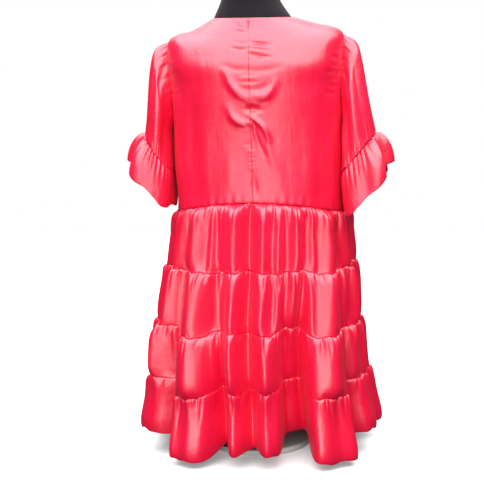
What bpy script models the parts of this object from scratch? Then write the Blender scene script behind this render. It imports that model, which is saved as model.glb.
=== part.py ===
"""A tiered satin dress standing on a limbless dress form.

Metres, +Z up, base plate on z = 0. The front of the dress faces -Y and its zip faces +Y.
Angles run round the body from the centre back, and grow towards the wearer's right, which is -X.
"""

import math
from collections import namedtuple

import bmesh
import bpy
import numpy as np
from mathutils import Matrix

# Cloth and clearances
WALL = 0.0018  # thickness of every cloth wall
SEAM_GAP = 0.0003  # between two pieces sewn edge to edge
SEAT_GAP = 0.0004  # between the shoulder seams and the form
CLEAR_GAP = 0.004  # between the form and the cloth that hangs away from it

# Rings round the body, from the neckline down to the hem. wave is the ring's share of the
# hem waves, tilt is how much higher its right side lies, and form_gap is how far the form
# lies inside the cloth.
Ring = namedtuple(
    "Ring",
    "half_width middle_x middle_y back_y front_y side_z back_z front_z square wave tilt form_gap",
)
RINGS = (
    Ring(0.081, 0.000, -0.004, 0.070, -0.088, 0.900, 0.900, 0.818, 2.00, 0.00, 0.0000, 0.0030),
    Ring(0.132, -0.002, -0.006, 0.094, -0.104, 0.878, 0.866, 0.800, 2.00, 0.00, 0.0060, 0.0040),
    Ring(0.181, -0.004, -0.006, 0.112, -0.118, 0.857, 0.828, 0.775, 2.00, 0.00, 0.0055, 0.0050),
    Ring(0.179, -0.006, -0.002, 0.124, -0.140, 0.772, 0.765, 0.735, 2.15, 0.00, 0.0020, 0.0070),
    Ring(0.176, -0.008, 0.000, 0.127, -0.150, 0.688, 0.690, 0.680, 2.20, 0.00, 0.0000, 0.0080),
    Ring(0.1775, -0.010, 0.000, 0.131, -0.150, 0.600, 0.612, 0.600, 2.20, 0.00, 0.0000, 0.0200),
    Ring(0.175, -0.012, 0.000, 0.140, -0.154, 0.513, 0.530, 0.515, 2.20, 0.00, 0.0000, 0.0320),
    Ring(0.195, -0.009, 0.000, 0.162, -0.172, 0.390, 0.398, 0.392, 2.15, 0.08, 0.0000, 0.0320),
    Ring(0.215, -0.001, 0.000, 0.182, -0.190, 0.268, 0.276, 0.270, 2.10, 0.32, 0.0000, 0.0320),
    Ring(0.229, -0.001, 0.000, 0.198, -0.204, 0.150, 0.156, 0.152, 2.05, 0.70, 0.0000, 0.0320),
    Ring(0.248, -0.003, 0.000, 0.212, -0.218, 0.030, 0.028, 0.030, 2.00, 1.00, 0.0000, 0.0320),
)
NECKLINE, SHOULDER_TIP, CHEST, UNDERARM, WAIST_SEAM = 0, 2, 3, 4, 6
PANEL_COLUMNS = 9  # spans of a bodice panel from its centre to its side

# Armholes: a loop from the shoulder tip to the underarm, this far behind and before the side
ARMHOLE_STEPS = 18
ARMHOLE_BACK = math.radians(13)
ARMHOLE_FRONT = math.radians(16)
ARMHOLE_SEAM_GAP = 1.2 * SEAM_GAP  # wider, because its chords lie inside the loop

# Sleeves, ring by ring below the armhole: the outer and inner ends of each ring, its depth,
# and how much lower it hangs behind and before than the slope between its ends
SleeveRing = namedtuple("SleeveRing", "outer_x outer_z inner_x inner_z half_depth middle_y sag")
SLEEVE_LEFT = (
    SleeveRing(0.204, 0.839, 0.172, 0.667, 0.046, 0.000, 0.0),
    SleeveRing(0.2125, 0.805, 0.170, 0.645, 0.055, 0.000, 0.0),
    SleeveRing(0.2185, 0.738, 0.168, 0.617, 0.062, 0.004, 0.0),
    SleeveRing(0.2255, 0.664, 0.167, 0.588, 0.066, 0.008, 0.0),
)
SLEEVE_RIGHT = (
    SleeveRing(0.211, 0.848, 0.182, 0.668, 0.046, 0.000, 0.0),
    SleeveRing(0.2225, 0.814, 0.180, 0.645, 0.054, 0.000, 0.0),
    SleeveRing(0.236, 0.738, 0.177, 0.612, 0.060, 0.004, 0.0),
    SleeveRing(0.2505, 0.664, 0.174, 0.578, 0.064, 0.008, 0.0),
)
CUFF_LEFT = SleeveRing(0.255, 0.604, 0.178, 0.514, 0.090, 0.010, 0.013)
CUFF_RIGHT = SleeveRing(0.277, 0.602, 0.182, 0.503, 0.094, 0.010, 0.026)
HANG_GAP = 0.004  # between a sleeve and the bodice that it hangs against
TIER_CLEARANCE = 0.014  # the same where the first tier swells out
TIER_REACH = (0.01, 0.02)  # the clearance changes from this far below the waist seam to this far above
CUFF_COLUMNS = 54
CUFF_WAVES = 9
CUFF_WAVE_OUT = 0.011
CUFF_WAVE_DOWN = 0.007
CUFF_WAVE_DRIFT = 0.6  # how unevenly the waves are spread, in radians of one wave
CUFF_INNER_SHARE = 0.35  # size of the waves against the body, beside those of the outer side
CUFF_ROWS = (0.35, 1.0)  # shares of the ruffle's height

# Waves of the hem, ridge and valley in turn: how far out and how far up the hem lies there
Wave = namedtuple("Wave", "angle out rise")
WAVES = (
    Wave(-178, -0.045, 0.008),
    Wave(-160, 0.038, -0.008),
    Wave(-144, -0.040, 0.006),
    Wave(-127, 0.040, -0.006),
    Wave(-112, -0.035, 0.008),
    Wave(-96, 0.002, 0.012),
    Wave(-80, -0.022, 0.020),
    Wave(-64, 0.019, 0.021),
    Wave(-46, -0.045, 0.014),
    Wave(-38, 0.020, -0.012),
    Wave(-23, 0.022, -0.015),
    Wave(-15, -0.068, 0.014),
    Wave(-7, 0.000, 0.004),
    Wave(-1, 0.000, 0.003),
    Wave(4, -0.020, 0.008),
    Wave(10, 0.006, 0.002),
    Wave(15, -0.004, 0.004),
    Wave(20, -0.088, 0.026),
    Wave(27, -0.095, 0.028),
    Wave(36, 0.030, -0.014),
    Wave(53, 0.032, -0.014),
    Wave(61, -0.036, 0.014),
    Wave(73, 0.018, 0.020),
    Wave(90, -0.016, 0.014),
    Wave(106, 0.008, 0.004),
    Wave(121, -0.038, 0.007),
    Wave(137, 0.040, -0.006),
    Wave(153, -0.042, 0.006),
    Wave(167, 0.036, -0.006),
)
WAVE_ROUND_SHARE = 0.6  # how much of a wave rises evenly; the rest makes its valley sharp

# Folds of each tier, across the back from left to right: wide faces with steep sides, in degrees
Fold = namedtuple("Fold", "angle half_width out")
FOLDS = (
    (
        Fold(-76, 6.0, 0.007), Fold(-56, 6.0, 0.009), Fold(-36, 6.6, 0.014), Fold(-24, 2.4, 0.006),
        Fold(-10, 6.6, 0.014), Fold(5.5, 4.2, 0.013), Fold(14.5, 3.4, 0.010), Fold(26, 4.4, 0.012),
        Fold(37, 2.4, 0.005), Fold(49, 7.5, 0.014), Fold(72, 5.0, 0.007), Fold(84, 4.0, 0.004),
    ),
    (
        Fold(-77, 5.0, 0.008), Fold(-56, 5.5, 0.011), Fold(-32, 7.4, 0.017), Fold(-19, 2.2, 0.005),
        Fold(-8, 6.0, 0.016), Fold(5.5, 4.6, 0.015), Fold(15, 2.4, 0.006), Fold(24, 5.0, 0.013),
        Fold(34, 2.2, 0.005), Fold(46, 7.6, 0.016), Fold(62, 4.0, 0.009), Fold(76, 4.5, 0.010),
    ),
    (
        Fold(-80, 5.0, 0.008), Fold(-57, 5.8, 0.014), Fold(-31, 8.4, 0.017), Fold(-17, 2.2, 0.007),
        Fold(-6.5, 5.6, 0.015), Fold(8, 6.0, 0.015), Fold(24, 3.6, 0.008), Fold(31.5, 1.8, 0.006),
        Fold(44, 7.6, 0.016), Fold(65, 5.4, 0.012), Fold(82, 4.5, 0.008),
    ),
    (
        Fold(-84, 3.0, 0.006), Fold(-72, 3.2, 0.007), Fold(-55, 3.4, 0.008), Fold(-39, 2.6, 0.007),
        Fold(-28, 3.0, 0.007), Fold(-10, 2.4, 0.006), Fold(-2, 2.2, 0.005), Fold(7, 2.6, 0.007),
        Fold(12, 2.0, 0.004), Fold(37, 3.0, 0.008), Fold(48, 3.2, 0.007), Fold(67, 3.6, 0.008),
        Fold(81, 3.2, 0.006),
    ),
)
FRONT_FOLDS = (12, 10, 10, 12)  # folds across the front of each tier
FRONT_FROM, FRONT_SPAN = 98, 164  # degrees
FRONT_FOLD_OUT = 0.009
FRONT_WIDTHS = (3.4, 6.4)  # least and greatest half-width in degrees
FRONT_DEPTHS = (0.7, 1.4)  # least and greatest share of FRONT_FOLD_OUT
FRONT_DRIFT = 0.2  # how far a fold strays from even places, as a share of one
FOLD_FLATNESS = 3.2  # 2 would be a plain bell
FOLD_REACH = 3.0  # how quickly a tier's own folds take over from its seams
SEAM_SHARE = 0.75  # how much of the folds above and below it a seam follows
FOLD_SEED = 7

# Gathers and fullness of the tiers
TIER_COLUMNS = 144
TIER_ROWS = (0.0, 0.14, 0.52, 1.0)  # shares of a tier's height
GATHER_COLUMNS = 4  # columns of each small gather
GATHER_OUT = 0.0028
PUFF_OUT = 0.006  # how far a tier swells just below its seam
PUFF_SCALE = 9.5  # makes the greatest value of share * (1 - share) ** 3 one
MITER_LIMIT = 0.6  # least cosine by which the wall is widened at a sharp turn

# Dress form
NECK_RINGS = (
    # height, half-width, back and front y, each at the neck's top or base
    (0.975, 0.0555, 0.056, -0.060),
    (0.938, 0.0590, 0.058, -0.060),
)
NECK_BASE = (0.913, 0.0705, 0.0625, -0.0660)
NECK_BASE_DROP = 0.030  # how much lower the base of the neck lies in front
NECK_X = 0.005
TORSO_END_Z = 0.440
TORSO_END_SHARE = 0.90  # size of the torso's lower face beside its last ring
TORSO_LEVELS = (0.0, 0.5, 1.0, 1.5, 2.0, 2.3, 2.7, 3.2, 3.7, 4.2, 4.8, 5.4, 6.0)
SEAT_SPAN = math.radians(20)  # how far behind and before the shoulder seam the form still meets it
POST_RADIUS = 0.014
BASE_RADIUS = 0.110
BASE_HEIGHT = 0.012
BASE_BEVEL = 0.003
ROUND_SEGMENTS = 48

# Zip slider at the top of the centre back, and the tab that hangs from it
SLIDER = (0.0052, 0.0080, 0.0020)  # across, along and out of the back
SLIDER_BELOW_EDGE = 0.0060
LUG = (0.0009, 0.0026, 0.0026)
LUG_SIDE = 0.00215
TAB = (0.0028, 0.0140, 0.0009)
TAB_PIVOT_OUT = 0.0014  # height of the pivot above the slider
TAB_PIVOT_RADIUS = 0.0010

SATIN = ("satin", (0.90, 0.045, 0.105), 0.34, 0.0)
JERSEY = ("form_jersey", (0.012, 0.010, 0.014), 0.80, 0.0)
METAL = ("painted_metal", (0.80, 0.06, 0.12), 0.35, 0.6)
STEEL = ("white_steel", (0.80, 0.79, 0.77), 0.40, 0.0)
STEP = 1e-4  # for slopes


def smooth_between(rows, place):
    """The row at a place between rows, on a smooth curve through all of them."""
    table = np.array(rows, float)
    index = min(max(int(math.floor(place)), 0), len(table) - 2)
    t = place - index
    before = table[max(index - 1, 0)]
    start, end = table[index], table[index + 1]
    after = table[min(index + 2, len(table) - 1)]
    leave, arrive = (end - before) / 2, (after - start) / 2
    return (
        (2 * t**3 - 3 * t**2 + 1) * start
        + (t**3 - 2 * t**2 + t) * leave
        + (3 * t**2 - 2 * t**3) * end
        + (t**3 - t**2) * arrive
    )


def unit(vector):
    return vector / np.linalg.norm(vector)


# Body rings

def ring_at(level):
    return Ring(*smooth_between(RINGS, level))


def body_point(level, angle):
    """A point of the cloth's outer face, before folds."""
    ring = ring_at(level)
    sine, cosine = math.sin(angle), math.cos(angle)
    power = 2 / ring.square
    reach = (ring.back_y if cosine > 0 else ring.front_y) - ring.middle_y
    end_z = ring.back_z if cosine > 0 else ring.front_z
    return np.array(
        (
            ring.middle_x - ring.half_width * math.copysign(abs(sine) ** power, sine),
            ring.middle_y + reach * abs(cosine) ** power,
            ring.side_z + (end_z - ring.side_z) * cosine**2 + ring.tilt * sine * abs(sine),
        )
    )


def body_normal(level, angle):
    """The outward direction there. Where the waist seam starts the skirt, it is level."""
    around = body_point(level, angle + STEP) - body_point(level, angle - STEP)
    if level >= WAIST_SEAM:
        return unit(np.cross((0, 0, -1), around))
    low, high = max(level - STEP, 0), level + STEP
    return unit(np.cross(body_point(high, angle) - body_point(low, angle), around))


# Armholes

def armhole_edge(level, back):
    """The angle at which a bodice panel ends, at its side seam or at the armhole."""
    depth = ARMHOLE_BACK if back else ARMHOLE_FRONT
    up = min(max(level - CHEST, -1), 1)
    return math.pi / 2 - depth * math.sqrt(1 - up * up)


def armhole_loop():
    """Level and angle of each point of an armhole, from the shoulder tip down its back edge."""
    loop = []
    for step in range(ARMHOLE_STEPS):
        turn = 2 * math.pi * step / ARMHOLE_STEPS
        level = CHEST - math.cos(turn)
        back = math.sin(turn) >= 0
        edge = armhole_edge(level, back)
        loop.append((level, edge if back else math.pi - edge))
    return loop


def bodice_levels():
    half = ARMHOLE_STEPS // 2
    armhole = [CHEST - math.cos(math.pi * step / half) for step in range(half + 1)]
    above = [NECKLINE, 0.5, 1.0, 1.5]
    return above + armhole + [4.5, 5.0, 5.5, WAIST_SEAM]


# Skirt

def wave_at(angle):
    """How far out and up the hem lies at an angle, round on its ridges and sharper between."""
    degrees = math.degrees(angle)
    first = WAVES[0].angle
    degrees = (degrees - first) % 360 + first
    rows = WAVES + (Wave(first + 360, WAVES[0].out, WAVES[0].rise),)
    for start, end in zip(rows, rows[1:]):
        if start.angle <= degrees <= end.angle:
            break
    share = (degrees - start.angle) / (end.angle - start.angle)
    rising = end.out > start.out
    t = share if rising else 1 - share
    even, sharp = 0.5 - 0.5 * math.cos(math.pi * t), math.sin(math.pi * t / 2)
    lift = WAVE_ROUND_SHARE * even + (1 - WAVE_ROUND_SHARE) * sharp
    low, high = (start, end) if rising else (end, start)
    return low.out + (high.out - low.out) * lift, low.rise + (high.rise - low.rise) * lift


def folds_of(tier):
    """The folds of a tier: those of its back, and others spread over its front."""
    spread = np.random.default_rng(FOLD_SEED + tier)
    count = FRONT_FOLDS[tier]
    folds = list(FOLDS[tier])
    for index in range(count):
        place = (index + 0.5 + spread.uniform(-FRONT_DRIFT, FRONT_DRIFT)) / count
        half_width = spread.uniform(*FRONT_WIDTHS)
        out = FRONT_FOLD_OUT * spread.uniform(*FRONT_DEPTHS)
        folds.append(Fold(FRONT_FROM + FRONT_SPAN * place, half_width, out))
    return folds


ALL_FOLDS = [folds_of(tier) for tier in range(len(FOLDS))]


def folds_out(tier, angle):
    """How far the folds of a tier push it out at an angle."""
    total = 0.0
    for fold in ALL_FOLDS[tier]:
        away = (math.degrees(angle) - fold.angle + 180) % 360 - 180
        total += fold.out * math.exp(-abs(away / fold.half_width) ** FOLD_FLATNESS)
    return total


def seam_out(seam, angle):
    """How far the folds push a seam out. The waist seam hangs straight and the hem is free."""
    if seam == 0:
        return 0.0
    if seam == len(FOLDS):
        return folds_out(seam - 1, angle)
    return SEAM_SHARE * (folds_out(seam - 1, angle) + folds_out(seam, angle)) / 2


def tier_point(tier, share, angle, gather):
    """A point of a tier, at a share of its height below its seam."""
    level = WAIST_SEAM + tier + share
    wave_out, wave_rise = wave_at(angle)
    wave_share = max(ring_at(level).wave, 0)
    at_seams = seam_out(tier, angle) * (1 - share) + seam_out(tier + 1, angle) * share
    middle = 1 - abs(2 * share - 1) ** FOLD_REACH
    puff = PUFF_SCALE * share * (1 - share) ** 3
    fade = min(share / TIER_ROWS[1], 1) * (1 - share) ** 2
    out = (
        wave_out * wave_share
        + at_seams
        + (folds_out(tier, angle) - at_seams) * middle
        + PUFF_OUT * puff
        + GATHER_OUT * gather * fade
    )
    point = body_point(level, angle) + out * body_normal(level, angle)
    point[2] += wave_rise * wave_share
    return point


def tier_grid(tier):
    """The outer points of a whole tier, row by row, and the inward points behind them."""
    columns = TIER_COLUMNS
    outer = []
    for share in TIER_ROWS:
        row = []
        for column in range(columns):
            angle = -math.pi / 2 + 2 * math.pi * column / columns
            gather = math.cos(2 * math.pi * column / GATHER_COLUMNS)
            row.append(tier_point(tier, share, angle, gather))
        outer.append(row)
    outer = np.array(outer)
    outer[0, :, 2] -= SEAM_GAP / 2
    if tier < len(FOLDS) - 1:
        outer[-1, :, 2] += SEAM_GAP / 2
    return outer, outer - level_offset(outer)


def level_offset(rows):
    """The wall's thickness at each point of closed rows, kept even where they turn sharply."""
    ahead = np.roll(rows, -1, axis=1) - rows
    behind = rows - np.roll(rows, 1, axis=1)
    ahead[..., 2] = behind[..., 2] = 0
    ahead /= np.linalg.norm(ahead, axis=2, keepdims=True)
    behind /= np.linalg.norm(behind, axis=2, keepdims=True)
    along = ahead + behind
    along /= np.linalg.norm(along, axis=2, keepdims=True)
    even = np.maximum((along * ahead).sum(2, keepdims=True), MITER_LIMIT)
    outward = np.stack((along[..., 1], -along[..., 0], np.zeros(along.shape[:2])), axis=2)
    return WALL * outward / even


# Making objects

def fresh_scene():
    for thing in list(bpy.data.objects):
        bpy.data.objects.remove(thing)
    for collection in list(bpy.data.collections):
        bpy.data.collections.remove(collection)
    made = []
    for name in ("tiered_dress", "cutters"):
        collection = bpy.data.collections.new(name)
        bpy.context.scene.collection.children.link(collection)
        made.append(collection)
    return made


def material_for(finish):
    name, colour, roughness, metallic = finish
    material = bpy.data.materials.new(name)
    material.use_nodes = True
    shader = material.node_tree.nodes["Principled BSDF"]
    shader.inputs["Base Color"].default_value = (*colour, 1)
    shader.inputs["Roughness"].default_value = roughness
    shader.inputs["Metallic"].default_value = metallic
    material.diffuse_color = (*colour, 1)
    return material


def add_mesh(name, bm, finish, collection):
    mesh = bpy.data.meshes.new(name)
    bm.to_mesh(mesh)
    bm.free()
    mesh.shade_smooth()
    mesh.materials.append(material_for(finish))
    made = bpy.data.objects.new(name, mesh)
    collection.objects.link(made)
    return made


def add_wall(name, outer, inner, closed, collection):
    """A cloth wall between two grids of points, with its four edges or, if closed, its two."""
    bm = bmesh.new()
    faces = [[[bm.verts.new(p) for p in row] for row in grid] for grid in (outer, inner)]
    rows, columns = len(outer), len(outer[0])
    spans = columns if closed else columns - 1

    def quad(*corners):
        bm.faces.new(corners)

    front, back = faces
    for column in range(spans):
        after = (column + 1) % columns
        for row in range(rows - 1):
            quad(front[row][column], front[row + 1][column], front[row + 1][after], front[row][after])
            quad(back[row][column], back[row][after], back[row + 1][after], back[row + 1][column])
        quad(front[0][column], front[0][after], back[0][after], back[0][column])
        quad(front[-1][column], back[-1][column], back[-1][after], front[-1][after])
    if not closed:
        for row in range(rows - 1):
            quad(front[row][0], back[row][0], back[row + 1][0], front[row + 1][0])
            quad(front[row][-1], front[row + 1][-1], back[row + 1][-1], back[row][-1])
    return add_mesh(name, bm, SATIN, collection)


def add_loft(name, rings, finish, collection):
    """A solid through closed rings of points, with flat ends."""
    bm = bmesh.new()
    loops = [[bm.verts.new(p) for p in ring] for ring in rings]
    count = len(loops[0])
    for upper, lower in zip(loops, loops[1:]):
        for index in range(count):
            after = (index + 1) % count
            bm.faces.new((upper[index], lower[index], lower[after], upper[after]))
    bm.faces.new(loops[0])
    bm.faces.new(reversed(loops[-1]))
    return add_mesh(name, bm, finish, collection)


def add_box(name, size, finish, collection):
    bm = bmesh.new()
    bmesh.ops.create_cube(bm, size=1)
    bmesh.ops.scale(bm, vec=size, verts=bm.verts)
    return add_mesh(name, bm, finish, collection)


def add_cylinder(name, radius, height, segments, finish, collection):
    bm = bmesh.new()
    bmesh.ops.create_cone(
        bm, cap_ends=True, segments=segments, radius1=radius, radius2=radius, depth=height
    )
    made = add_mesh(name, bm, finish, collection)
    made.data.set_sharp_from_angle(angle=math.radians(40))
    return made


def fuse(target, piece):
    """Joins a piece to the target, and hides the piece itself."""
    union = target.modifiers.new(piece.name, "BOOLEAN")
    union.operation = "UNION"
    union.object = piece
    piece.hide_render = True
    piece.display_type = "WIRE"


# Bodice

def bodice_panel(centre, side, back):
    """Outer and inner grids from one angle to another, each edge half a seam's gap short."""
    outer, inner = [], []
    for level in bodice_levels():
        edge = armhole_edge(level, back)
        limits = []
        for end in (centre, side):
            limits.append(math.copysign(edge, end) if end else 0.0)
        turns = np.linspace(limits[0], limits[1], round_columns(centre, side) + 1)
        if not back:
            turns = math.pi + turns
        points = [body_point(level, turn) for turn in turns]
        normals = [body_normal(level, turn) for turn in turns]
        if level == WAIST_SEAM:
            points = [p + (0, 0, SEAM_GAP / 2) for p in points]
        for first, place in ((True, 0), (False, -1)):
            points[place] = points[place] + edge_gap(level, turns[place], first)
        outer.append(points)
        inner.append([p - WALL * n for p, n in zip(points, normals)])
    return outer, inner


def round_columns(centre, side):
    return PANEL_COLUMNS * (2 if centre and side else 1)


def edge_gap(level, turn, first):
    """Half a seam's gap, along the ring and into the panel. An armhole's edge has none."""
    if SHOULDER_TIP < level < UNDERARM and abs(math.sin(turn)) > 0.5:
        return np.zeros(3)
    around = body_point(level, turn + STEP) - body_point(level, turn - STEP)
    return (1 if first else -1) * SEAM_GAP / 2 * unit(around)


def add_bodice(parts):
    quarter = math.pi / 2
    panels = (
        ("bodice_back_left", -quarter, 0.0, True),
        ("bodice_back_right", 0.0, quarter, True),
        ("bodice_front", -quarter, quarter, False),
    )
    for name, start, end, back in panels:
        outer, inner = bodice_panel(start, end, back)
        add_wall(name, outer, inner, False, parts)


# Sleeves and their ruffles

def sleeve_point(ring, turn, side):
    """A point of a sleeve's ring, from its outer end round the back to its inner end."""
    across, through = (1 + math.cos(turn)) / 2, math.sin(turn)
    point = np.array(
        (
            ring.inner_x + (ring.outer_x - ring.inner_x) * across,
            ring.middle_y + ring.half_depth * through,
            ring.inner_z + (ring.outer_z - ring.inner_z) * across - ring.sag * through**2,
        )
    )
    return clear_of_body(point, side)


def clear_of_body(point, side):
    """The point, moved outwards if it lies too near the side of the body."""
    heights = [ring.side_z for ring in RINGS]
    level = np.interp(-point[2], [-z for z in heights], range(len(heights)))
    ring = ring_at(level)
    reach = (ring.back_y if point[1] > ring.middle_y else ring.front_y) - ring.middle_y
    share = min(abs((point[1] - ring.middle_y) / reach), 1)
    half_width = ring.half_width * (1 - share**ring.square) ** (1 / ring.square)
    seam_z = RINGS[WAIST_SEAM].side_z
    heights = (seam_z - TIER_REACH[0], seam_z + TIER_REACH[1])
    gap = np.interp(point[2], heights, (TIER_CLEARANCE, HANG_GAP))
    point[0] = max(point[0], side * ring.middle_x + half_width + gap)
    return point


def ring_normal(ring, turn):
    """The direction out of a sleeve's ring, in the ring's own plane."""
    slope = np.array((ring.outer_x - ring.inner_x, 0, ring.outer_z - ring.inner_z))
    width = np.linalg.norm(slope) / 2
    return unit(
        slope / (2 * width) * math.cos(turn) / width
        + np.array((0, 1, 0)) * math.sin(turn) / ring.half_depth
    )


def ring_axis(ring):
    """The direction down the sleeve, square to the ring."""
    slope = np.array((ring.outer_x - ring.inner_x, 0, ring.outer_z - ring.inner_z))
    return unit(np.cross((0, 1, 0), slope))


def armhole_points(side):
    """The armhole's loop on the body, drawn in by the seam's gap. side is 1 for the left."""
    loop = armhole_loop()
    points = np.array([body_point(level, -side * angle) for level, angle in loop])
    middle = points.mean(axis=0)
    toward = middle - points
    toward[:, 0] = 0
    toward /= np.linalg.norm(toward, axis=1, keepdims=True)
    return points + ARMHOLE_SEAM_GAP * toward, toward


def add_sleeve(name, side, rings, parts):
    start, toward = armhole_points(side)
    start, toward = mirrored(start, side), mirrored(toward, side)
    turns = [2 * math.pi * step / ARMHOLE_STEPS for step in range(ARMHOLE_STEPS)]
    points = [start] + [[sleeve_point(ring, turn, side) for turn in turns] for ring in rings]
    outer = round_off(points)
    inner = outer - WALL * grid_normals(outer)
    inner[0] = start + WALL * toward
    inner[-1] = [p - WALL * ring_normal(rings[-1], t) for p, t in zip(outer[-1], turns)]
    outer, inner = mirrored(outer, side), mirrored(inner, side)
    if side < 0:
        outer, inner = outer[:, ::-1], inner[:, ::-1]
    add_wall(name, outer, inner, True, parts)


def grid_normals(rows):
    """The outward direction at each point of closed rows."""
    around = np.roll(rows, -1, axis=1) - np.roll(rows, 1, axis=1)
    down = np.gradient(rows, axis=0)
    normals = np.cross(down, around)
    return normals / np.linalg.norm(normals, axis=2, keepdims=True)


def round_off(rings):
    """Rings with one more between each two, on a smooth curve through them."""
    rings = np.array(rings)
    flat = rings.reshape(len(rings), -1)
    places = np.linspace(0, len(rings) - 1, 2 * len(rings) - 1)
    return np.array([smooth_between(flat, p) for p in places]).reshape(-1, *rings.shape[1:])


def mirrored(points, side):
    return np.array(points) * (side, 1, 1)


def divided(ring):
    """The ring with its straight sides parted evenly, so that it has a ruffle's columns."""
    parts = CUFF_COLUMNS // len(ring)
    ahead = np.roll(ring, -1, axis=0)
    return [
        start + (end - start) * part / parts for start, end in zip(ring, ahead) for part in range(parts)
    ]


def add_cuff(name, side, top, hem, parts):
    """A gathered ruffle that flares from the sleeve's end in waves."""
    turns = [2 * math.pi * step / CUFF_COLUMNS for step in range(CUFF_COLUMNS)]
    drop = ring_axis(top) * SEAM_GAP
    corners = [2 * math.pi * step / ARMHOLE_STEPS for step in range(ARMHOLE_STEPS)]
    end = np.array([sleeve_point(top, turn, side) for turn in corners]) + drop
    behind = np.array([p - WALL * ring_normal(top, turn) for p, turn in zip(end, corners)])
    outer, inner = [divided(end)], [divided(behind)]
    for share in CUFF_ROWS:
        ring = SleeveRing(*(np.array(top) + (np.array(hem) - np.array(top)) * share))
        row = []
        for turn in turns:
            wave = math.cos(CUFF_WAVES * turn + CUFF_WAVE_DRIFT * math.sin(2 * turn))
            free = CUFF_INNER_SHARE + (1 - CUFF_INNER_SHARE) * (1 + math.cos(turn)) / 2
            flare = ring_normal(ring, turn) * CUFF_WAVE_OUT * wave * free
            fall = ring_axis(ring) * CUFF_WAVE_DOWN * wave * free
            point = sleeve_point(ring, turn, side) + (flare + fall) * share
            row.append(clear_of_body(point, side))
        outer.append(row)
        inner.append([p - WALL * ring_normal(ring, t) for p, t in zip(row, turns)])
    outer, inner = (np.array([mirrored(row, side) for row in grid]) for grid in (outer, inner))
    if side < 0:
        outer, inner = outer[:, ::-1], inner[:, ::-1]
    add_wall(name, outer, inner, True, parts)


# Tiers

def add_tiers(parts):
    """Four gathered tiers, each a front and a back that meet at the side seams."""
    for tier in range(len(FOLDS)):
        outer, inner = tier_grid(tier)
        half = TIER_COLUMNS // 2
        for name, start in (("back", 0), ("front", half)):
            columns = np.arange(start, start + half + 1) % TIER_COLUMNS
            panel, behind = outer[:, columns].copy(), inner[:, columns].copy()
            for edge, towards in ((0, 1), (-1, -2)):
                along = panel[:, towards] - panel[:, edge]
                along[:, :] = along / np.linalg.norm(along, axis=1, keepdims=True)
                panel[:, edge] += SEAM_GAP / 2 * along
                behind[:, edge] += SEAM_GAP / 2 * along
            add_wall(f"tier_{tier + 1}_{name}", panel, behind, False, parts)


# Dress form and its stand

def form_gap(level, turn):
    """How far the form lies inside the cloth: it meets it along the shoulder seams only."""
    loose = ring_at(level).form_gap
    seated = max(0, 1 - abs(abs(turn) - math.pi / 2) / SEAT_SPAN)
    if level > SHOULDER_TIP:
        return max(loose, CLEAR_GAP)
    return loose + (SEAT_GAP - loose) * seated


def neck_ring(height, half_width, back, front, drop):
    ring = []
    for turn in form_turns():
        sine, cosine = math.sin(turn), math.cos(turn)
        reach = back if cosine > 0 else front
        fall = drop * max(-cosine, 0) ** 2
        ring.append((NECK_X - half_width * sine, reach * abs(cosine), height - fall))
    return ring


def form_turns():
    count = 4 * PANEL_COLUMNS
    return [-math.pi + 2 * math.pi * index / count for index in range(count)]


def add_form(parts):
    rings = [neck_ring(*row, 0.0) for row in NECK_RINGS]
    rings.append(neck_ring(*NECK_BASE, NECK_BASE_DROP))
    for level in TORSO_LEVELS:
        ring = []
        for turn in form_turns():
            inward = WALL + form_gap(level, turn)
            ring.append(body_point(level, turn) - inward * body_normal(level, turn))
        rings.append(ring)
    last = np.array(rings[-1])
    middle = last.mean(axis=0)
    end = middle + (last - middle) * TORSO_END_SHARE
    end[:, 2] = TORSO_END_Z
    rings.append(end)
    add_loft("form_torso", rings, JERSEY, parts)

    post_height = TORSO_END_Z - BASE_HEIGHT - 2 * SEAM_GAP
    post = add_cylinder("form_post", POST_RADIUS, post_height, ROUND_SEGMENTS // 2, STEEL, parts)
    post.location.z = BASE_HEIGHT + SEAM_GAP + post_height / 2
    base = add_cylinder("form_base", BASE_RADIUS, BASE_HEIGHT, ROUND_SEGMENTS, STEEL, parts)
    base.location.z = BASE_HEIGHT / 2
    bevel = base.modifiers.new("edge", "BEVEL")
    bevel.width = BASE_BEVEL
    bevel.segments = 2
    bevel.limit_method = "ANGLE"


# Zip slider and tab

def add_zip(parts, cutters):
    """The slider lies on the centre back seam, and its tab hangs on a pivot between two lugs."""
    edge = body_point(NECKLINE, 0.0)
    below = body_point(NECKLINE + 0.5, 0.0)
    down = unit((below - edge) * (0, 1, 1))
    out = unit(np.cross((1, 0, 0), down))
    tilt = math.atan2(out[2], out[1])
    seat = edge + down * (SLIDER_BELOW_EDGE + SLIDER[1] / 2)
    slider_middle = seat + out * (SEAM_GAP + SLIDER[2] / 2)
    pivot = slider_middle + out * (SLIDER[2] / 2 + TAB_PIVOT_OUT)

    slider = add_box("zip_slider", (SLIDER[0], SLIDER[2], SLIDER[1]), METAL, parts)
    slider.rotation_euler.x = tilt
    slider.location = slider_middle
    for name, side in (("lug_left", 1), ("lug_right", -1)):
        lug = add_box(name, (LUG[0], LUG[2], LUG[1]), METAL, cutters)
        lug.rotation_euler.x = tilt
        lug.location = pivot + np.array((side * LUG_SIDE, 0, 0)) - out * LUG[2] / 4
        fuse(slider, lug)

    tab = add_cylinder("zip_pull", TAB_PIVOT_RADIUS, TAB[0], 16, METAL, parts)
    tab.data.transform(Matrix.Rotation(math.pi / 2, 4, "Y"))
    tab.rotation_euler.x = tilt
    tab.location = pivot
    plate = add_box("tab_plate", (TAB[0], TAB[2], TAB[1]), METAL, cutters)
    plate.rotation_euler.x = tilt
    plate.location = pivot + down * TAB[1] / 2
    fuse(tab, plate)


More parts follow.
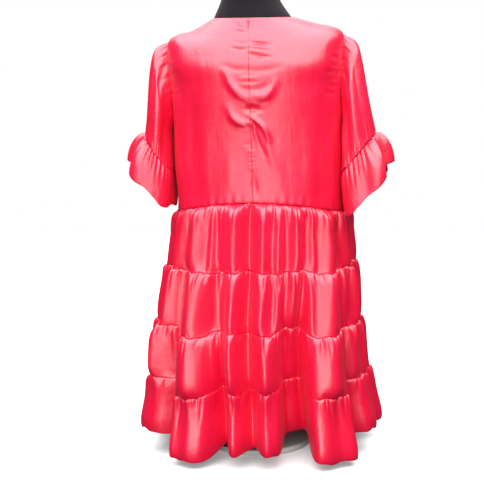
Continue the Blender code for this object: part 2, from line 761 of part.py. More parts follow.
def main():
    parts, cutters = fresh_scene()
    add_bodice(parts)
    add_sleeve("sleeve_left", 1, SLEEVE_LEFT, parts)
    add_sleeve("sleeve_right", -1, SLEEVE_RIGHT, parts)
    add_cuff("cuff_ruffle_left", 1, SLEEVE_LEFT[-1], CUFF_LEFT, parts)
    add_cuff("cuff_ruffle_right", -1, SLEEVE_RIGHT[-1], CUFF_RIGHT, parts)
    add_tiers(parts)
    add_form(parts)
    add_zip(parts, cutters)


main()
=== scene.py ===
"""A tiered coral satin dress on a black limbless form, seen from the back.

Cloth is made as thin shells through the dress's own rings. Folds, gathers and creases are
worked out from the tables below. Metres, +Z up, the zip faces +Y.
"""

import math
from collections import namedtuple

import bmesh
import bpy
import numpy as np
from mathutils import Euler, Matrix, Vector


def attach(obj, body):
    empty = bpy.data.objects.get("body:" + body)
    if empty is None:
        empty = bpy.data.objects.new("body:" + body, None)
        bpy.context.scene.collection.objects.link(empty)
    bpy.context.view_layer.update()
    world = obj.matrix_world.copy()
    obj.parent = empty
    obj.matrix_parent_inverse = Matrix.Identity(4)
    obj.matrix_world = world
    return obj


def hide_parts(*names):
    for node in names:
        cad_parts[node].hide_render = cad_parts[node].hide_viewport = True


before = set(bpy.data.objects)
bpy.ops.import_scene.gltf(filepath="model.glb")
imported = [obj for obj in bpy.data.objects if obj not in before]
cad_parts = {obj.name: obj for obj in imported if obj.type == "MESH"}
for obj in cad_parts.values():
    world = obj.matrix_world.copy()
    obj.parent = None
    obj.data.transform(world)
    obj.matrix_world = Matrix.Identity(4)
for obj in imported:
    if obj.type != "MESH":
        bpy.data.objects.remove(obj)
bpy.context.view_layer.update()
FORM = "dress_on_form"  # the body that all the cloth rides on

# Cloth
CLOTH = 0.0011  # thickness of the satin
SEAM_GAP = 0.0003  # between panels sewn edge to edge
ARMHOLE_SEAM_GAP = 1.2 * SEAM_GAP
STEP = 1e-4  # how far to either side a slope is measured


def table(kind, rows):
    """Rows with named columns."""
    return tuple(kind(*row) for row in rows)


# Flat cuts of the cloth, width and length
BACK_CUT, FRONT_CUT = (0.25, 0.4), (0.5, 0.41)

# Columns and rows of each mesh
BACK_COLUMNS, FRONT_COLUMNS = 84, 90
SHOULDER_ROWS, ARMHOLE_ROWS, SIDE_ROWS = 50, 60, 48
SLEEVE_COLUMNS, SLEEVE_ROWS = 200, 56
CUFF_COLUMNS, CUFF_ROWS = 360, 34
TIER_COLUMNS = {"back": 440, "front": 250}
TIER_ROWS = ((0, 0.16, 12), (0.16, 0.88, 27), (0.88, 1, 8))  # from one share of its height to another

# Rings round the body from the neckline down to the hem
Ring = namedtuple(
    "Ring",
    "half_width middle_x middle_y back_y front_y side_z back_z front_z square wave tilt form_gap",
)
RINGS = (
    Ring(0.081, 0.0, -0.004, 0.07, -0.088, 0.9, 0.9, 0.818, 2.0, 0.0, 0.0, 0.003),
    Ring(0.132, -0.002, -0.006, 0.094, -0.104, 0.878, 0.866, 0.8, 2.0, 0.0, 0.006, 0.004),
    Ring(0.181, -0.004, -0.006, 0.112, -0.118, 0.857, 0.828, 0.775, 2.0, 0.0, 0.0055, 0.005),
    Ring(0.179, -0.006, -0.002, 0.124, -0.14, 0.772, 0.765, 0.735, 2.15, 0.0, 0.002, 0.007),
    Ring(0.176, -0.008, 0.0, 0.127, -0.15, 0.688, 0.69, 0.68, 2.2, 0.0, 0.0, 0.008),
    Ring(0.1775, -0.01, 0.0, 0.131, -0.15, 0.6, 0.612, 0.6, 2.2, 0.0, 0.0, 0.02),
    Ring(0.175, -0.012, 0.0, 0.14, -0.154, 0.504, 0.534, 0.515, 2.2, 0.0, 0.0, 0.032),
    Ring(0.195, -0.009, 0.0, 0.162, -0.172, 0.39, 0.398, 0.392, 2.15, 0.08, 0.0, 0.032),
    Ring(0.215, -0.001, 0.0, 0.182, -0.19, 0.268, 0.276, 0.27, 2.1, 0.32, 0.0, 0.032),
    Ring(0.229, -0.001, 0.0, 0.198, -0.204, 0.15, 0.156, 0.152, 2.05, 0.7, 0.0, 0.032),
    Ring(0.248, -0.003, 0.0, 0.212, -0.218, 0.03, 0.028, 0.03, 2.0, 1.0, 0.0, 0.032),
)
NECKLINE, SHOULDER_TIP, CHEST, UNDERARM, WAIST_SEAM = 0, 2, 3, 4, 6
ARMHOLE_BACK = math.radians(13)
ARMHOLE_FRONT = math.radians(16)

# Sleeves
SleeveRing = namedtuple("SleeveRing", "outer_x outer_z inner_x inner_z half_depth middle_y sag")
SLEEVE_LEFT = (
    SleeveRing(0.204, 0.839, 0.172, 0.667, 0.046, 0.0, 0.0),
    SleeveRing(0.2125, 0.805, 0.17, 0.645, 0.055, 0.0, 0.0),
    SleeveRing(0.2185, 0.738, 0.168, 0.617, 0.062, 0.004, 0.0),
    SleeveRing(0.2255, 0.664, 0.167, 0.588, 0.066, 0.008, 0.0),
)
SLEEVE_RIGHT = (
    SleeveRing(0.211, 0.848, 0.182, 0.668, 0.046, 0.0, 0.0),
    SleeveRing(0.2225, 0.814, 0.18, 0.645, 0.054, 0.0, 0.0),
    SleeveRing(0.236, 0.738, 0.177, 0.612, 0.06, 0.004, 0.0),
    SleeveRing(0.2505, 0.664, 0.174, 0.578, 0.064, 0.008, 0.0),
)
CUFF_LEFT = SleeveRing(0.255, 0.604, 0.166, 0.514, 0.09, 0.01, 0.013)
CUFF_RIGHT = SleeveRing(0.277, 0.602, 0.182, 0.503, 0.094, 0.01, 0.026)
HANG_GAP = 0.0018  # between a sleeve and the bodice that it hangs against
TIER_CLEARANCE = 0.009  # and between it and the gathers under the waist
CLEAR_FROM, CLEAR_TO = -0.008, 0.006  # where one gap turns into the other, from the waist seam
CLEAR_SOFTNESS = 0.003
CUFF_WAVES = 6
CUFF_WAVE_OUT, CUFF_WAVE_DOWN = 0.017, 0.007
CUFF_WAVE_DRIFT = 1.3
CUFF_FLATNESS = 1.3
CUFF_LEAST_FREE = 0.12  # share of the waves left where the ruffle lies against the body
CUFF_UNEVEN = 0.25
CUFF_TURN_UNDER = 0.35
CUFF_PUFF, CUFF_PINCH = 0.009, 0.0016

# Uneven ripples: waves all round, how far and how often they drift, height and start
Ripple = namedtuple("Ripple", "waves drift drift_waves out phase", defaults=(0.0,))
SLEEVE_HEAD_RIPPLES = (Ripple(27, 1.4, 3, 0.0008), Ripple(44, 0, 0, 0.0004))
SLEEVE_END_RIPPLES = (Ripple(41, 1.3, 4, 0.0011),)
CUFF_RIPPLES = (Ripple(31, 1.2, 5, 0.002),)
WAIST_RIPPLES = (Ripple(61, 0.8, 7, 1.0), Ripple(37, 0, 0, 0.6, 1.2))
WAIST_RIPPLE_OUT, WAIST_PINCH = 0.0008, 0.0014
SEAM_WANDERS = (Ripple(11, 0, 0, 0.002, 0.4), Ripple(29, 0, 0, 0.0013, 1.9), Ripple(53, 0, 0, 0.001, 3.1))
SEAM_SHIFT = 1.7

# Folds of the sleeves: round the sleeve from its outer edge over the back, and down it
SleeveFold = namedtuple("SleeveFold", "turn end_turn start end half_turn out")
SLEEVE_FOLDS = {
    "left": table(SleeveFold, (
        (95, 88, 0.15, 1.0, 13, 0.0048),
        (128, 118, 0.3, 0.98, 13, -0.0052),
        (52, 58, 0.1, 0.8, 14, -0.0036),
        (22, 26, 0.3, 0.95, 14, 0.003),
        (60, 92, 0.04, 0.36, 9, -0.0028),
        (-40, -60, 0.12, 0.92, 16, -0.0042),
        (-84, -88, 0.2, 1.0, 15, 0.0044),
        (-122, -118, 0.3, 0.98, 13, -0.0042),
    )),
    "right": table(SleeveFold, (
        (138, 128, 0.1, 1.0, 7, 0.0034),
        (118, 110, 0.12, 0.92, 9, -0.0044),
        (84, 80, 0.1, 1.0, 12, 0.0046),
        (56, 54, 0.14, 0.85, 10, -0.004),
        (28, 26, 0.25, 0.98, 12, 0.0034),
        (70, 104, 0.03, 0.4, 8, -0.0026),
        (-46, -58, 0.12, 0.9, 15, -0.0042),
        (-90, -84, 0.2, 1.0, 14, 0.0046),
        (-126, -120, 0.3, 0.98, 13, -0.004),
    )),
}

# Waves of the hem, ridge and valley in turn
Wave = namedtuple("Wave", "angle out rise slide", defaults=(0.0,))
WAVES = table(Wave, (
    (-178, -0.045, 0.008),
    (-160, 0.038, -0.008),
    (-144, -0.04, 0.006),
    (-127, 0.04, -0.006),
    (-112, -0.035, 0.008),
    (-96, 0.002, 0.012),
    (-80, -0.022, 0.02),
    (-64, 0.019, 0.021),
    (-46, -0.045, 0.014),
    (-38, 0.02, -0.012),
    (-23, 0.022, -0.015),
    (-15, -0.068, 0.014),
    (-7, 0.0, 0.004),
    (-1, 0.0, 0.003),
    (4, -0.02, 0.008),
    (10, 0.006, 0.002),
    (15, -0.004, 0.004),
    (20, -0.088, 0.026, 0.006),
    (29, -0.095, 0.028, 0.034),
    (36, 0.03, -0.014, -0.024),
    (53, 0.032, -0.014, -0.004),
    (61, -0.036, 0.014),
    (73, 0.012, 0.02),
    (90, -0.016, 0.014),
    (106, 0.008, 0.004),
    (121, -0.038, 0.007),
    (137, 0.04, -0.006),
    (153, -0.042, 0.006),
    (167, 0.036, -0.006),
))
WAVE_SOFTNESS = math.radians(2.0)
WAVE_SAMPLES = 9
WAVE_ROUNDNESS = 0.6

# Long folds of each tier: flat faces with steep sides
Fold = namedtuple("Fold", "angle half_width out")
FOLDS = tuple(table(Fold, rows) for rows in (
    (
        (-76, 6.0, 0.007), (-56, 6.0, 0.009), (-36, 6.6, 0.014), (-24, 2.4, 0.006),
        (-10, 6.6, 0.014), (-1.8, 3.4, -0.009), (5.5, 4.2, 0.013), (14.5, 3.4, 0.01),
        (26, 4.4, 0.012), (37, 2.4, 0.005), (49, 7.5, 0.014), (72, 5.0, 0.007),
        (84, 4.0, 0.004),
    ),
    (
        (-77, 5.0, 0.008), (-57, 3.6, 0.009), (-46, 2.6, -0.007), (-31, 7.0, 0.017),
        (-19.5, 4.6, -0.006), (-8, 5.6, 0.017), (-0.6, 3.4, -0.015), (5.5, 4.6, 0.016),
        (15, 2.4, 0.006), (24, 5.0, 0.013), (34, 2.2, 0.005), (46, 7.6, 0.016),
        (62, 4.0, 0.009), (76, 4.5, 0.01),
    ),
    (
        (-80, 5.0, 0.008), (-60, 4.2, 0.013), (-46, 2.6, -0.008), (-30, 7.8, 0.017),
        (-17, 2.2, 0.007), (-7.5, 5.4, 0.017), (-0.2, 3.8, -0.018), (8, 5.6, 0.017),
        (24, 3.6, 0.008), (31.5, 1.8, 0.006), (44, 7.6, 0.016), (65, 5.4, 0.012),
        (82, 4.5, 0.008),
    ),
    (
        (-84, 4.0, 0.005), (-71, 4.0, 0.006), (-55, 4.6, 0.006), (-38, 3.6, 0.005),
        (-28, 3.6, 0.005), (-8, 4.4, 0.008), (1.2, 3.4, -0.024), (7, 4.4, 0.009),
        (24, 3.4, 0.004), (40, 4.0, 0.004), (51, 4.0, 0.004), (67, 4.4, 0.006),
        (81, 4.0, 0.005),
    ),
))
FRONT_FOLDS = (12, 10, 10, 12)
FRONT_FOLD_OUT = 0.009
FRONT_FOLD_SHARES, FRONT_FOLD_WIDTHS = (0.7, 1.4), (3.4, 6.4)
FRONT_FOLD_JITTER = 0.2
FRONT_START, FRONT_SPAN = 98, 164
FOLD_FLATNESS = 2.0
VALLEY_SHARPNESS = 1.8
FOLD_GAIN = 1.7
FOLD_SETTLE, SETTLE_REACH = 0.0065, 0.4  # draws the folded cloth in, from just under the waist
FOLD_REACH = 4.5  # how near to its seams a tier keeps its own folds
SEAM_SHARE = 0.92
FOLD_SEED = 7
PUFF_OUT = 0.0068  # each tier stands out under its seam
PUFF_TURN, PUFF_FADE, PUFF_FALL = 0.05, 0.2, 1.3

# Small gathers: sharp valleys between soft rolls below each seam, and tugs above it
Gather = namedtuple("Gather", "count more_a_tier out half_width reach")
ROLLS = Gather(96, 8, (0.0008, 0.0034), (0.004, 0.008), (0.1, 0.9))
VALLEYS = Gather(96, 8, (-0.0062, -0.002), (0.0017, 0.0036), (0.07, 0.42))
TIPS = Gather(104, 8, (0.0005, 0.002), (0.002, 0.0034), (0.08, 0.22))
TUGS = Gather(60, 0, (-0.002, -0.0006), (0.0028, 0.006), (0.04, 0.16))
GATHER_JITTER, GATHER_DRIFT, GATHER_SPREAD = 0.45, 3.5, 1.5
GATHER_START, TIP_START = 0.03, 0.02  # shares of a tier's height over which they begin
HEM_FLARE = 0.0035
SEAM_PINCH, PINCH_REACH = 0.001, 0.02
GATHER_SEED = 21

# Creases, in metres: start and end across from the middle seam and up, bend and height of each
Crease = namedtuple("Crease", "across z end_across end_z bow out half_width")
BACK_CREASES = table(Crease, (
    # tucks beside the zip, right and left
    (0.003, 0.853, 0.046, 0.848, 0.001, -0.0038, 0.0036),
    (0.003, 0.846, 0.04, 0.842, 0.001, 0.0022, 0.0038),
    (0.003, 0.829, 0.044, 0.823, 0.001, -0.0034, 0.0036),
    (0.002, 0.836, 0.03, 0.832, 0.0, 0.0014, 0.0036),
    (0.004, 0.888, 0.022, 0.882, 0.0, -0.0018, 0.0028),
    (-0.034, 0.894, -0.004, 0.885, 0.001, -0.0018, 0.0028),
    (-0.03, 0.882, -0.004, 0.877, 0.0, 0.0012, 0.003),
    (-0.028, 0.873, -0.004, 0.872, 0.0, -0.0014, 0.0026),
    (-0.034, 0.842, -0.002, 0.84, 0.002, -0.0026, 0.0032),
    (-0.026, 0.853, -0.002, 0.85, 0.0, -0.0014, 0.0028),
    # the cloth hangs straight down from the shoulder blades
    (-0.185, 0.8, -0.025, 0.802, 0.0, 0.0056, 0.026),
    (0.025, 0.802, 0.185, 0.8, 0.0, 0.0056, 0.026),
    # the sleeves hold it out beside the armholes
    (-0.148, 0.876, -0.148, 0.792, 0.0, 0.0052, 0.021),
    (0.148, 0.88, 0.148, 0.792, 0.0, 0.0052, 0.021),
    # the wide crease under the shoulder blades
    (-0.05, 0.806, 0.0, 0.8, 0.003, -0.0022, 0.006),
    (0.0, 0.797, 0.062, 0.803, 0.003, -0.0024, 0.0065),
    (-0.02, 0.781, 0.018, 0.781, 0.0, 0.0026, 0.0036),
    (-0.018, 0.77, 0.022, 0.769, 0.0, 0.0026, 0.0038),
    (-0.012, 0.775, 0.014, 0.775, 0.0, -0.0022, 0.003),
    # the first swag
    (-0.046, 0.792, 0.0, 0.738, 0.008, 0.0064, 0.0086),
    (0.004, 0.746, 0.05, 0.772, 0.012, 0.007, 0.01),
    (0.004, 0.762, 0.04, 0.772, 0.006, -0.003, 0.006),
    (-0.01, 0.722, 0.022, 0.722, 0.001, -0.0078, 0.0058),
    # the knot below it, with its two ridges
    (0.0, 0.706, 0.036, 0.66, -0.007, 0.0072, 0.0056),
    (0.034, 0.666, 0.046, 0.606, 0.004, 0.0026, 0.008),
    (0.004, 0.694, 0.026, 0.63, 0.003, -0.0042, 0.0058),
    (-0.044, 0.722, -0.002, 0.69, 0.009, 0.0062, 0.0086),
    (-0.012, 0.652, -0.001, 0.656, 0.002, -0.0022, 0.0036),
    (-0.006, 0.7, 0.002, 0.688, 0.0, 0.003, 0.004),
    # slack cloth beside the armholes and over the waist
    (-0.118, 0.74, -0.124, 0.545, 0.004, -0.005, 0.011),
    (-0.15, 0.72, -0.15, 0.545, 0.002, 0.0036, 0.012),
    (-0.09, 0.7, -0.096, 0.548, 0.003, 0.0022, 0.014),
    (0.142, 0.73, 0.14, 0.548, -0.004, -0.005, 0.0105),
    (0.112, 0.69, 0.112, 0.548, -0.003, 0.0024, 0.014),
    (0.164, 0.7, 0.166, 0.56, 0.0, -0.003, 0.008),
    (0.002, 0.59, 0.006, 0.545, 0.0, -0.0026, 0.007),
    (0.05, 0.64, 0.06, 0.55, 0.004, 0.0018, 0.013),
    (-0.048, 0.636, -0.056, 0.55, -0.004, 0.0016, 0.013),
))
FRONT_CREASES = table(Crease, (
    (-0.15, 0.75, -0.07, 0.7, -0.01, -0.0036, 0.0085),
    (-0.14, 0.728, -0.08, 0.69, -0.008, 0.0034, 0.009),
    (0.152, 0.752, 0.076, 0.696, 0.01, -0.0036, 0.0085),
    (0.142, 0.726, 0.078, 0.684, 0.008, 0.0032, 0.009),
    (-0.078, 0.69, -0.086, 0.546, 0.006, 0.0048, 0.013),
    (-0.054, 0.68, -0.058, 0.546, 0.004, -0.0036, 0.011),
    (0.07, 0.694, 0.082, 0.546, -0.006, 0.0046, 0.013),
    (0.048, 0.676, 0.056, 0.546, -0.004, -0.0034, 0.011),
    (0.004, 0.7, -0.002, 0.55, 0.002, 0.0022, 0.015),
    (-0.05, 0.798, 0.04, 0.79, -0.01, -0.002, 0.008),
    (-0.128, 0.66, -0.134, 0.548, 0.004, -0.004, 0.011),
    (0.13, 0.664, 0.132, 0.548, 0.004, -0.004, 0.011),
))
CREASE_ENDS = 0.35  # strength of a crease at its ends, as a share of its middle's
ZIP_PUCKER_HEIGHTS = (0.636, 0.628, 0.62, 0.611, 0.603)
ZIP_PUCKER_REACH, ZIP_PUCKER_RISE, ZIP_PUCKER_OUT, ZIP_PUCKER_HALF_WIDTH = 0.008, 0.002, 0.0026, 0.0022
ARMHOLE_PUCKER_HEIGHTS = (0.816, 0.802, 0.789, 0.775, 0.76, 0.747)
ARMHOLE_PUCKER_FROM, ARMHOLE_PUCKER_WIDTHS = 0.17, (0.012, 0.017, 0.022)
ARMHOLE_PUCKER_RISE, ARMHOLE_PUCKER_HALF_WIDTH = 0.003, 0.003
ARMHOLE_PUCKER_OUT = {1: -0.003, -1: -0.0016}
GROOVE_DEPTH, GROOVE_HALF_WIDTH = 0.0005, 0.0009
CLUSTER = 1.5  # draws the columns of the back towards its middle seam

# Dress form
NeckRing = namedtuple("NeckRing", "height half_width back_y front_y middle_x front_drop")
NECK_RINGS = table(NeckRing, (
    (0.975, 0.0555, 0.056, -0.06, 0.005, 0.0),
    (0.938, 0.059, 0.058, -0.06, 0.005, 0.0),
    (0.9015, 0.0785, 0.0675, -0.066, 0.001, 0.03),
))
FORM_COLUMNS, FORM_ROWS_A_RING = 144, 4
TORSO_LEVELS = (0.0, 0.5, 1.0, 1.5, 2.0, 2.3, 2.7, 3.2, 3.7, 4.2, 4.8, 5.4, 6.0)
UNDER_CLOTH = 0.0022  # the wall of the cloth and a little more
NECKLINE_GAP, SEAT_GAP, LEAST_GAP, CLEAR_GAP = 0.001, 0.0006, 0.0012, 0.004
SEAT_SPAN = math.radians(20)
TORSO_END_Z, TORSO_END_SHARE = 0.4403, 0.9
LID_SHARES, LID_ROUNDING = (0.02, 0.5, 0.9, 0.97), 0.0016
SOLE_SHARES = (0.97, 0.5, 0.02)

# Stitches
STITCH_SPACING, STITCH_LENGTH, THREAD_RADIUS = 0.0032, 0.0022, 0.00025
STITCH_SEGMENTS, STITCH_RINGS = 6, 4
STITCH_PROUD = 0.0002
HEM_STITCHES_UP, CUFF_STITCHES_UP = 0.006, 0.005


def unit(vectors):
    return vectors / np.maximum(np.linalg.norm(vectors, axis=-1, keepdims=True), 1e-12)


def fade(away, reach):
    return np.exp(-((away / reach) ** 2))


def turn_between(angle, centre):
    return (angle - centre + np.pi) % (2 * np.pi) - np.pi


def ripples(table, turn):
    total = 0
    for row in table:
        drift = row.drift * np.sin(row.drift_waves * turn)
        total = total + row.out * np.sin(row.waves * turn + drift + row.phase)
    return total


def smooth_rows(rows, place):
    """Rows at places between rows, on a smooth curve through all of them."""
    table = np.array(rows, float)
    place = np.asarray(place, float)
    index = np.clip(np.floor(place).astype(int), 0, len(table) - 2)
    t = (place - index)[..., None]
    start, end = table[index], table[index + 1]
    before = table[np.maximum(index - 1, 0)]
    after = table[np.minimum(index + 2, len(table) - 1)]
    leave, arrive = (end - before) / 2, (after - start) / 2
    return (
        (2 * t**3 - 3 * t**2 + 1) * start
        + (t**3 - 2 * t**2 + t) * leave
        + (3 * t**2 - 2 * t**3) * end
        + (t**3 - t**2) * arrive
    )


def rings_at(level):
    return Ring(*np.moveaxis(smooth_rows(RINGS, level), -1, 0))


def signed_power(value, power):
    return np.sign(value) * np.abs(value) ** power


def body_points(level, angle):
    level, angle = np.broadcast_arrays(level, angle)
    ring = rings_at(level)
    sine, cosine = np.sin(angle), np.cos(angle)
    back = cosine > 0
    reach = np.where(back, ring.back_y, ring.front_y) - ring.middle_y
    end_z = np.where(back, ring.back_z, ring.front_z)
    return np.stack(
        (
            ring.middle_x - ring.half_width * signed_power(sine, 2 / ring.square),
            ring.middle_y + reach * np.abs(cosine) ** (2 / ring.square),
            ring.side_z + (end_z - ring.side_z) * cosine**2 + ring.tilt * sine * np.abs(sine),
        ),
        axis=-1,
    )


def body_normals(level, angle):
    around = body_points(level, angle + STEP) - body_points(level, angle - STEP)
    low, high = np.maximum(level - STEP, 0), level + STEP
    down = body_points(high, angle) - body_points(low, angle)
    down = np.where(np.broadcast_to(level >= WAIST_SEAM, angle.shape)[..., None], (0, 0, -1), down)
    return unit(np.cross(down, around))


# Folds of the skirt

def wave_at(angle):
    """How far out and up the hem lies, with its ridges and valleys softened."""
    rows = np.array(WAVES + (Wave(WAVES[0].angle + 360, *WAVES[0][1:]),))
    softened = 0
    offsets = np.linspace(-2, 2, WAVE_SAMPLES) * WAVE_SOFTNESS
    weights = np.exp(-((offsets / WAVE_SOFTNESS) ** 2))
    for offset, weight in zip(offsets, weights / weights.sum()):
        degrees = (np.degrees(angle + offset) - rows[0, 0]) % 360 + rows[0, 0]
        index = np.clip(np.searchsorted(rows[:, 0], degrees, "right") - 1, 0, len(rows) - 2)
        start, end = rows[index], rows[index + 1]
        share = (degrees - start[..., 0]) / (end[..., 0] - start[..., 0])
        rising = (end[..., 1] > start[..., 1])[..., None]
        t = np.where(rising, share[..., None], 1 - share[..., None])
        lift = WAVE_ROUNDNESS * (0.5 - 0.5 * np.cos(np.pi * t))
        lift += (1 - WAVE_ROUNDNESS) * np.sin(np.pi * t / 2)
        low, high = np.where(rising, start, end), np.where(rising, end, start)
        softened = softened + weight * (low + (high - low) * lift)
    return softened[..., 1], softened[..., 2], softened[..., 3]


def folds_of(tier):
    """The folds of a tier: the back's from the table, the front's spread unevenly."""
    spread = np.random.default_rng(FOLD_SEED + tier)
    folds = list(FOLDS[tier])
    count = FRONT_FOLDS[tier]
    for index in range(count):
        place = index + 0.5 + spread.uniform(-FRONT_FOLD_JITTER, FRONT_FOLD_JITTER)
        degrees = FRONT_START + FRONT_SPAN * place / count
        width = spread.uniform(*FRONT_FOLD_WIDTHS)
        folds.append(Fold(degrees, width, FRONT_FOLD_OUT * spread.uniform(*FRONT_FOLD_SHARES)))
    return folds


def folds_out(tier, angle):
    total = 0
    for ridge in folds_of(tier):
        away = turn_between(angle, math.radians(ridge.angle)) / math.radians(ridge.half_width)
        power = FOLD_FLATNESS if ridge.out > 0 else VALLEY_SHARPNESS
        total = total + ridge.out * np.exp(-np.abs(away) ** power)
    return FOLD_GAIN * total


def seam_out(seam, angle):
    """How far the folds push a seam out. The waist seam hangs straight and the hem is free."""
    if seam == 0:
        return 0 * angle
    if seam == len(FOLDS):
        return folds_out(seam - 1, angle)
    return SEAM_SHARE * (folds_out(seam - 1, angle) + folds_out(seam, angle)) / 2


def bumps(gather, seed, tier, angle, away):
    """Small gathers, spread unevenly round a seam and fading away from it."""
    chance = np.random.default_rng(seed)
    radius = RINGS[WAIST_SEAM + tier].half_width
    count = gather.count + gather.more_a_tier * tier
    total = np.zeros(np.broadcast(angle, away).shape)
    for index in range(count):
        centre = 2 * math.pi * (index + chance.uniform(-GATHER_JITTER, GATHER_JITTER)) / count
        drift = math.radians(chance.uniform(-GATHER_DRIFT, GATHER_DRIFT))
        out = chance.uniform(*gather.out)
        half_width = chance.uniform(*gather.half_width) / radius
        reach = chance.uniform(*gather.reach)
        place = turn_between(angle, centre + drift * away) / (half_width * (1 + GATHER_SPREAD * away))
        total = total + out * fade(place, 1) * fade(away, reach)
    return total


def gathers_out(tier, angle, share):
    """The gathers under a tier's seam and over the next one, and the pinch of both."""
    seed = GATHER_SEED + 10 * tier
    rolls = bumps(ROLLS, seed, tier, angle, share)
    valleys = bumps(VALLEYS, seed + 1, tier, angle, share)
    tips = bumps(TIPS, seed + 3, tier, angle, share)
    gathers = (rolls + valleys) * np.clip(share / GATHER_START, 0.3, 1) ** 0.6
    gathers = gathers + tips * np.clip(share / TIP_START, 0, 1)
    pinch = -SEAM_PINCH * fade(share, PINCH_REACH)
    if tier < len(FOLDS) - 1:
        tugs = bumps(TUGS, seed + 2, tier, angle, 1 - share)
        gathers = gathers + tugs * np.clip((1 - share) / GATHER_START, 0, 1)
        pinch = pinch - SEAM_PINCH / 2 * fade(1 - share, PINCH_REACH)
    return gathers, pinch


def tier_grid(tier, angle, share):
    """Outer points of a tier at columns of angles and rows of shares of its height."""
    angle, share = np.meshgrid(angle, share)
    level = WAIST_SEAM + tier + share
    wave_out, wave_rise, wave_slide = wave_at(angle)
    wave_share = np.maximum(rings_at(level).wave, 0)
    own = folds_out(tier, angle)
    at_seams = seam_out(tier, angle) * (1 - share) + seam_out(tier + 1, angle) * share
    middle = 1 - np.abs(2 * share - 1) ** FOLD_REACH
    fold = at_seams + (own - at_seams) * middle
    if tier == len(FOLDS) - 1:
        fold = fold - HEM_FLARE * np.sin(2 * np.pi * share) * (0.4 + 0.6 * share)
    puff = 1 - 0.5 * np.exp(-share / PUFF_TURN) - 0.5 * np.exp(-share / PUFF_FADE)
    puff = puff * (1 - share) ** PUFF_FALL
    gathers, pinch = gathers_out(tier, angle, share)
    settled = FOLD_SETTLE * np.clip((tier + share) / SETTLE_REACH, 0, 1)
    out = wave_out * wave_share + fold - settled + PUFF_OUT * puff + gathers + pinch
    points = body_points(level, angle) + out[..., None] * body_normals(level, angle)
    along = unit(body_points(level, angle + STEP) - body_points(level, angle - STEP))
    points += (wave_slide * wave_share**2)[..., None] * along
    wander = seam_wander(tier, angle) * (1 - share) + seam_wander(tier + 1, angle) * share
    points[..., 2] += wave_rise * wave_share + wander
    return points


def seam_wander(seam, angle):
    """The seams rise and fall a little with their gathers. The waist seam hardly does."""
    wander = 0
    for row in SEAM_WANDERS:
        wander = wander + row.out * np.sin(row.waves * angle + row.phase + SEAM_SHIFT * seam)
    return wander if seam else 0.3 * wander


# Meshes

def add(name, data):
    """A new object in the scene."""
    made = bpy.data.objects.new(name, data)
    bpy.context.collection.objects.link(made)
    return made


def cloth_uv(grid, closed):
    """Distance along and down the cloth at each point, in metres."""
    wrapped = np.concatenate((grid, grid[:, :1]), axis=1) if closed else grid
    along = np.linalg.norm(np.diff(wrapped, axis=1), axis=2)
    down = np.linalg.norm(np.diff(grid, axis=0), axis=2)
    u = np.concatenate((np.zeros((1,)), np.cumsum(along.mean(axis=0))))
    v = np.concatenate((np.zeros((1,)), np.cumsum(down.mean(axis=1))))
    return u, -v


def shell(name, grid, closed, material, thickness=CLOTH):
    """A cloth shell through a grid of points, with a UV map in metres."""
    rows, columns = grid.shape[:2]
    index = np.arange(rows * columns).reshape(rows, columns)
    if closed:
        index = np.concatenate((index, index[:, :1]), axis=1)
    quads = np.stack((index[:-1, :-1], index[1:, :-1], index[1:, 1:], index[:-1, 1:]), axis=-1)
    mesh = bpy.data.meshes.new(name)
    mesh.from_pydata(grid.reshape(-1, 3).tolist(), [], quads.reshape(-1, 4).tolist())
    u, v = cloth_uv(grid, closed)
    spans = index.shape[1] - 1
    row, column = np.divmod(np.arange((rows - 1) * spans), spans)
    corners = ((row, column), (row + 1, column), (row + 1, column + 1), (row, column + 1))
    uv = np.stack([np.stack((u[c], v[r]), axis=-1) for r, c in corners], axis=1)
    mesh.uv_layers.new(name="cloth").data.foreach_set("uv", uv.astype(np.float32).ravel())
    mesh.shade_smooth()
    mesh.materials.append(material)
    piece = add(name, mesh)
    if thickness:
        wall = piece.modifiers.new("wall", "SOLIDIFY")
        wall.thickness = thickness
        wall.offset = -1
    return piece


def settle(piece, node_name):
    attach(piece, FORM)
    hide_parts(node_name)


# Bodice

def armhole_edge(level, back):
    depth = ARMHOLE_BACK if back else ARMHOLE_FRONT
    up = np.clip(level - CHEST, -1, 1)
    return np.pi / 2 - depth * np.sqrt(np.maximum(1 - up * up, 0))


def bodice_levels():
    above = np.linspace(NECKLINE, SHOULDER_TIP, SHOULDER_ROWS)[:-1]
    armhole = CHEST - np.cos(np.linspace(0, np.pi, ARMHOLE_ROWS))
    below = np.linspace(UNDERARM, WAIST_SEAM, SIDE_ROWS)[1:]
    return np.concatenate((above, armhole, below))


def crease_relief(creases, across, z):
    """Soft strokes that swell in the middle, fade to their ends and bend sideways."""
    total = np.zeros(across.shape)
    for crease in creases:
        start = np.array((crease.across, crease.z))
        run = np.array((crease.end_across, crease.end_z)) - start
        length = math.hypot(*run)
        sideways = np.array((run[1], -run[0])) / length
        here = np.stack((across, z), axis=-1) - start
        t = here @ run / length**2
        inside = np.clip(t, 0, 1)
        bend = crease.bow * 4 * inside * (1 - inside)
        away = np.hypot(here @ sideways - bend, (t - inside) * length)
        strength = CREASE_ENDS + (1 - CREASE_ENDS) * np.sin(np.pi * inside)
        total = total + crease.out * strength * fade(away, crease.half_width)
    return total


def zip_puckers():
    """Short puckers across the end of the zip."""
    reach, rise = ZIP_PUCKER_REACH, ZIP_PUCKER_RISE
    return tuple(
        Crease(-reach, height, reach, height + rise, 0.0, ZIP_PUCKER_OUT, ZIP_PUCKER_HALF_WIDTH)
        for height in ZIP_PUCKER_HEIGHTS
    )


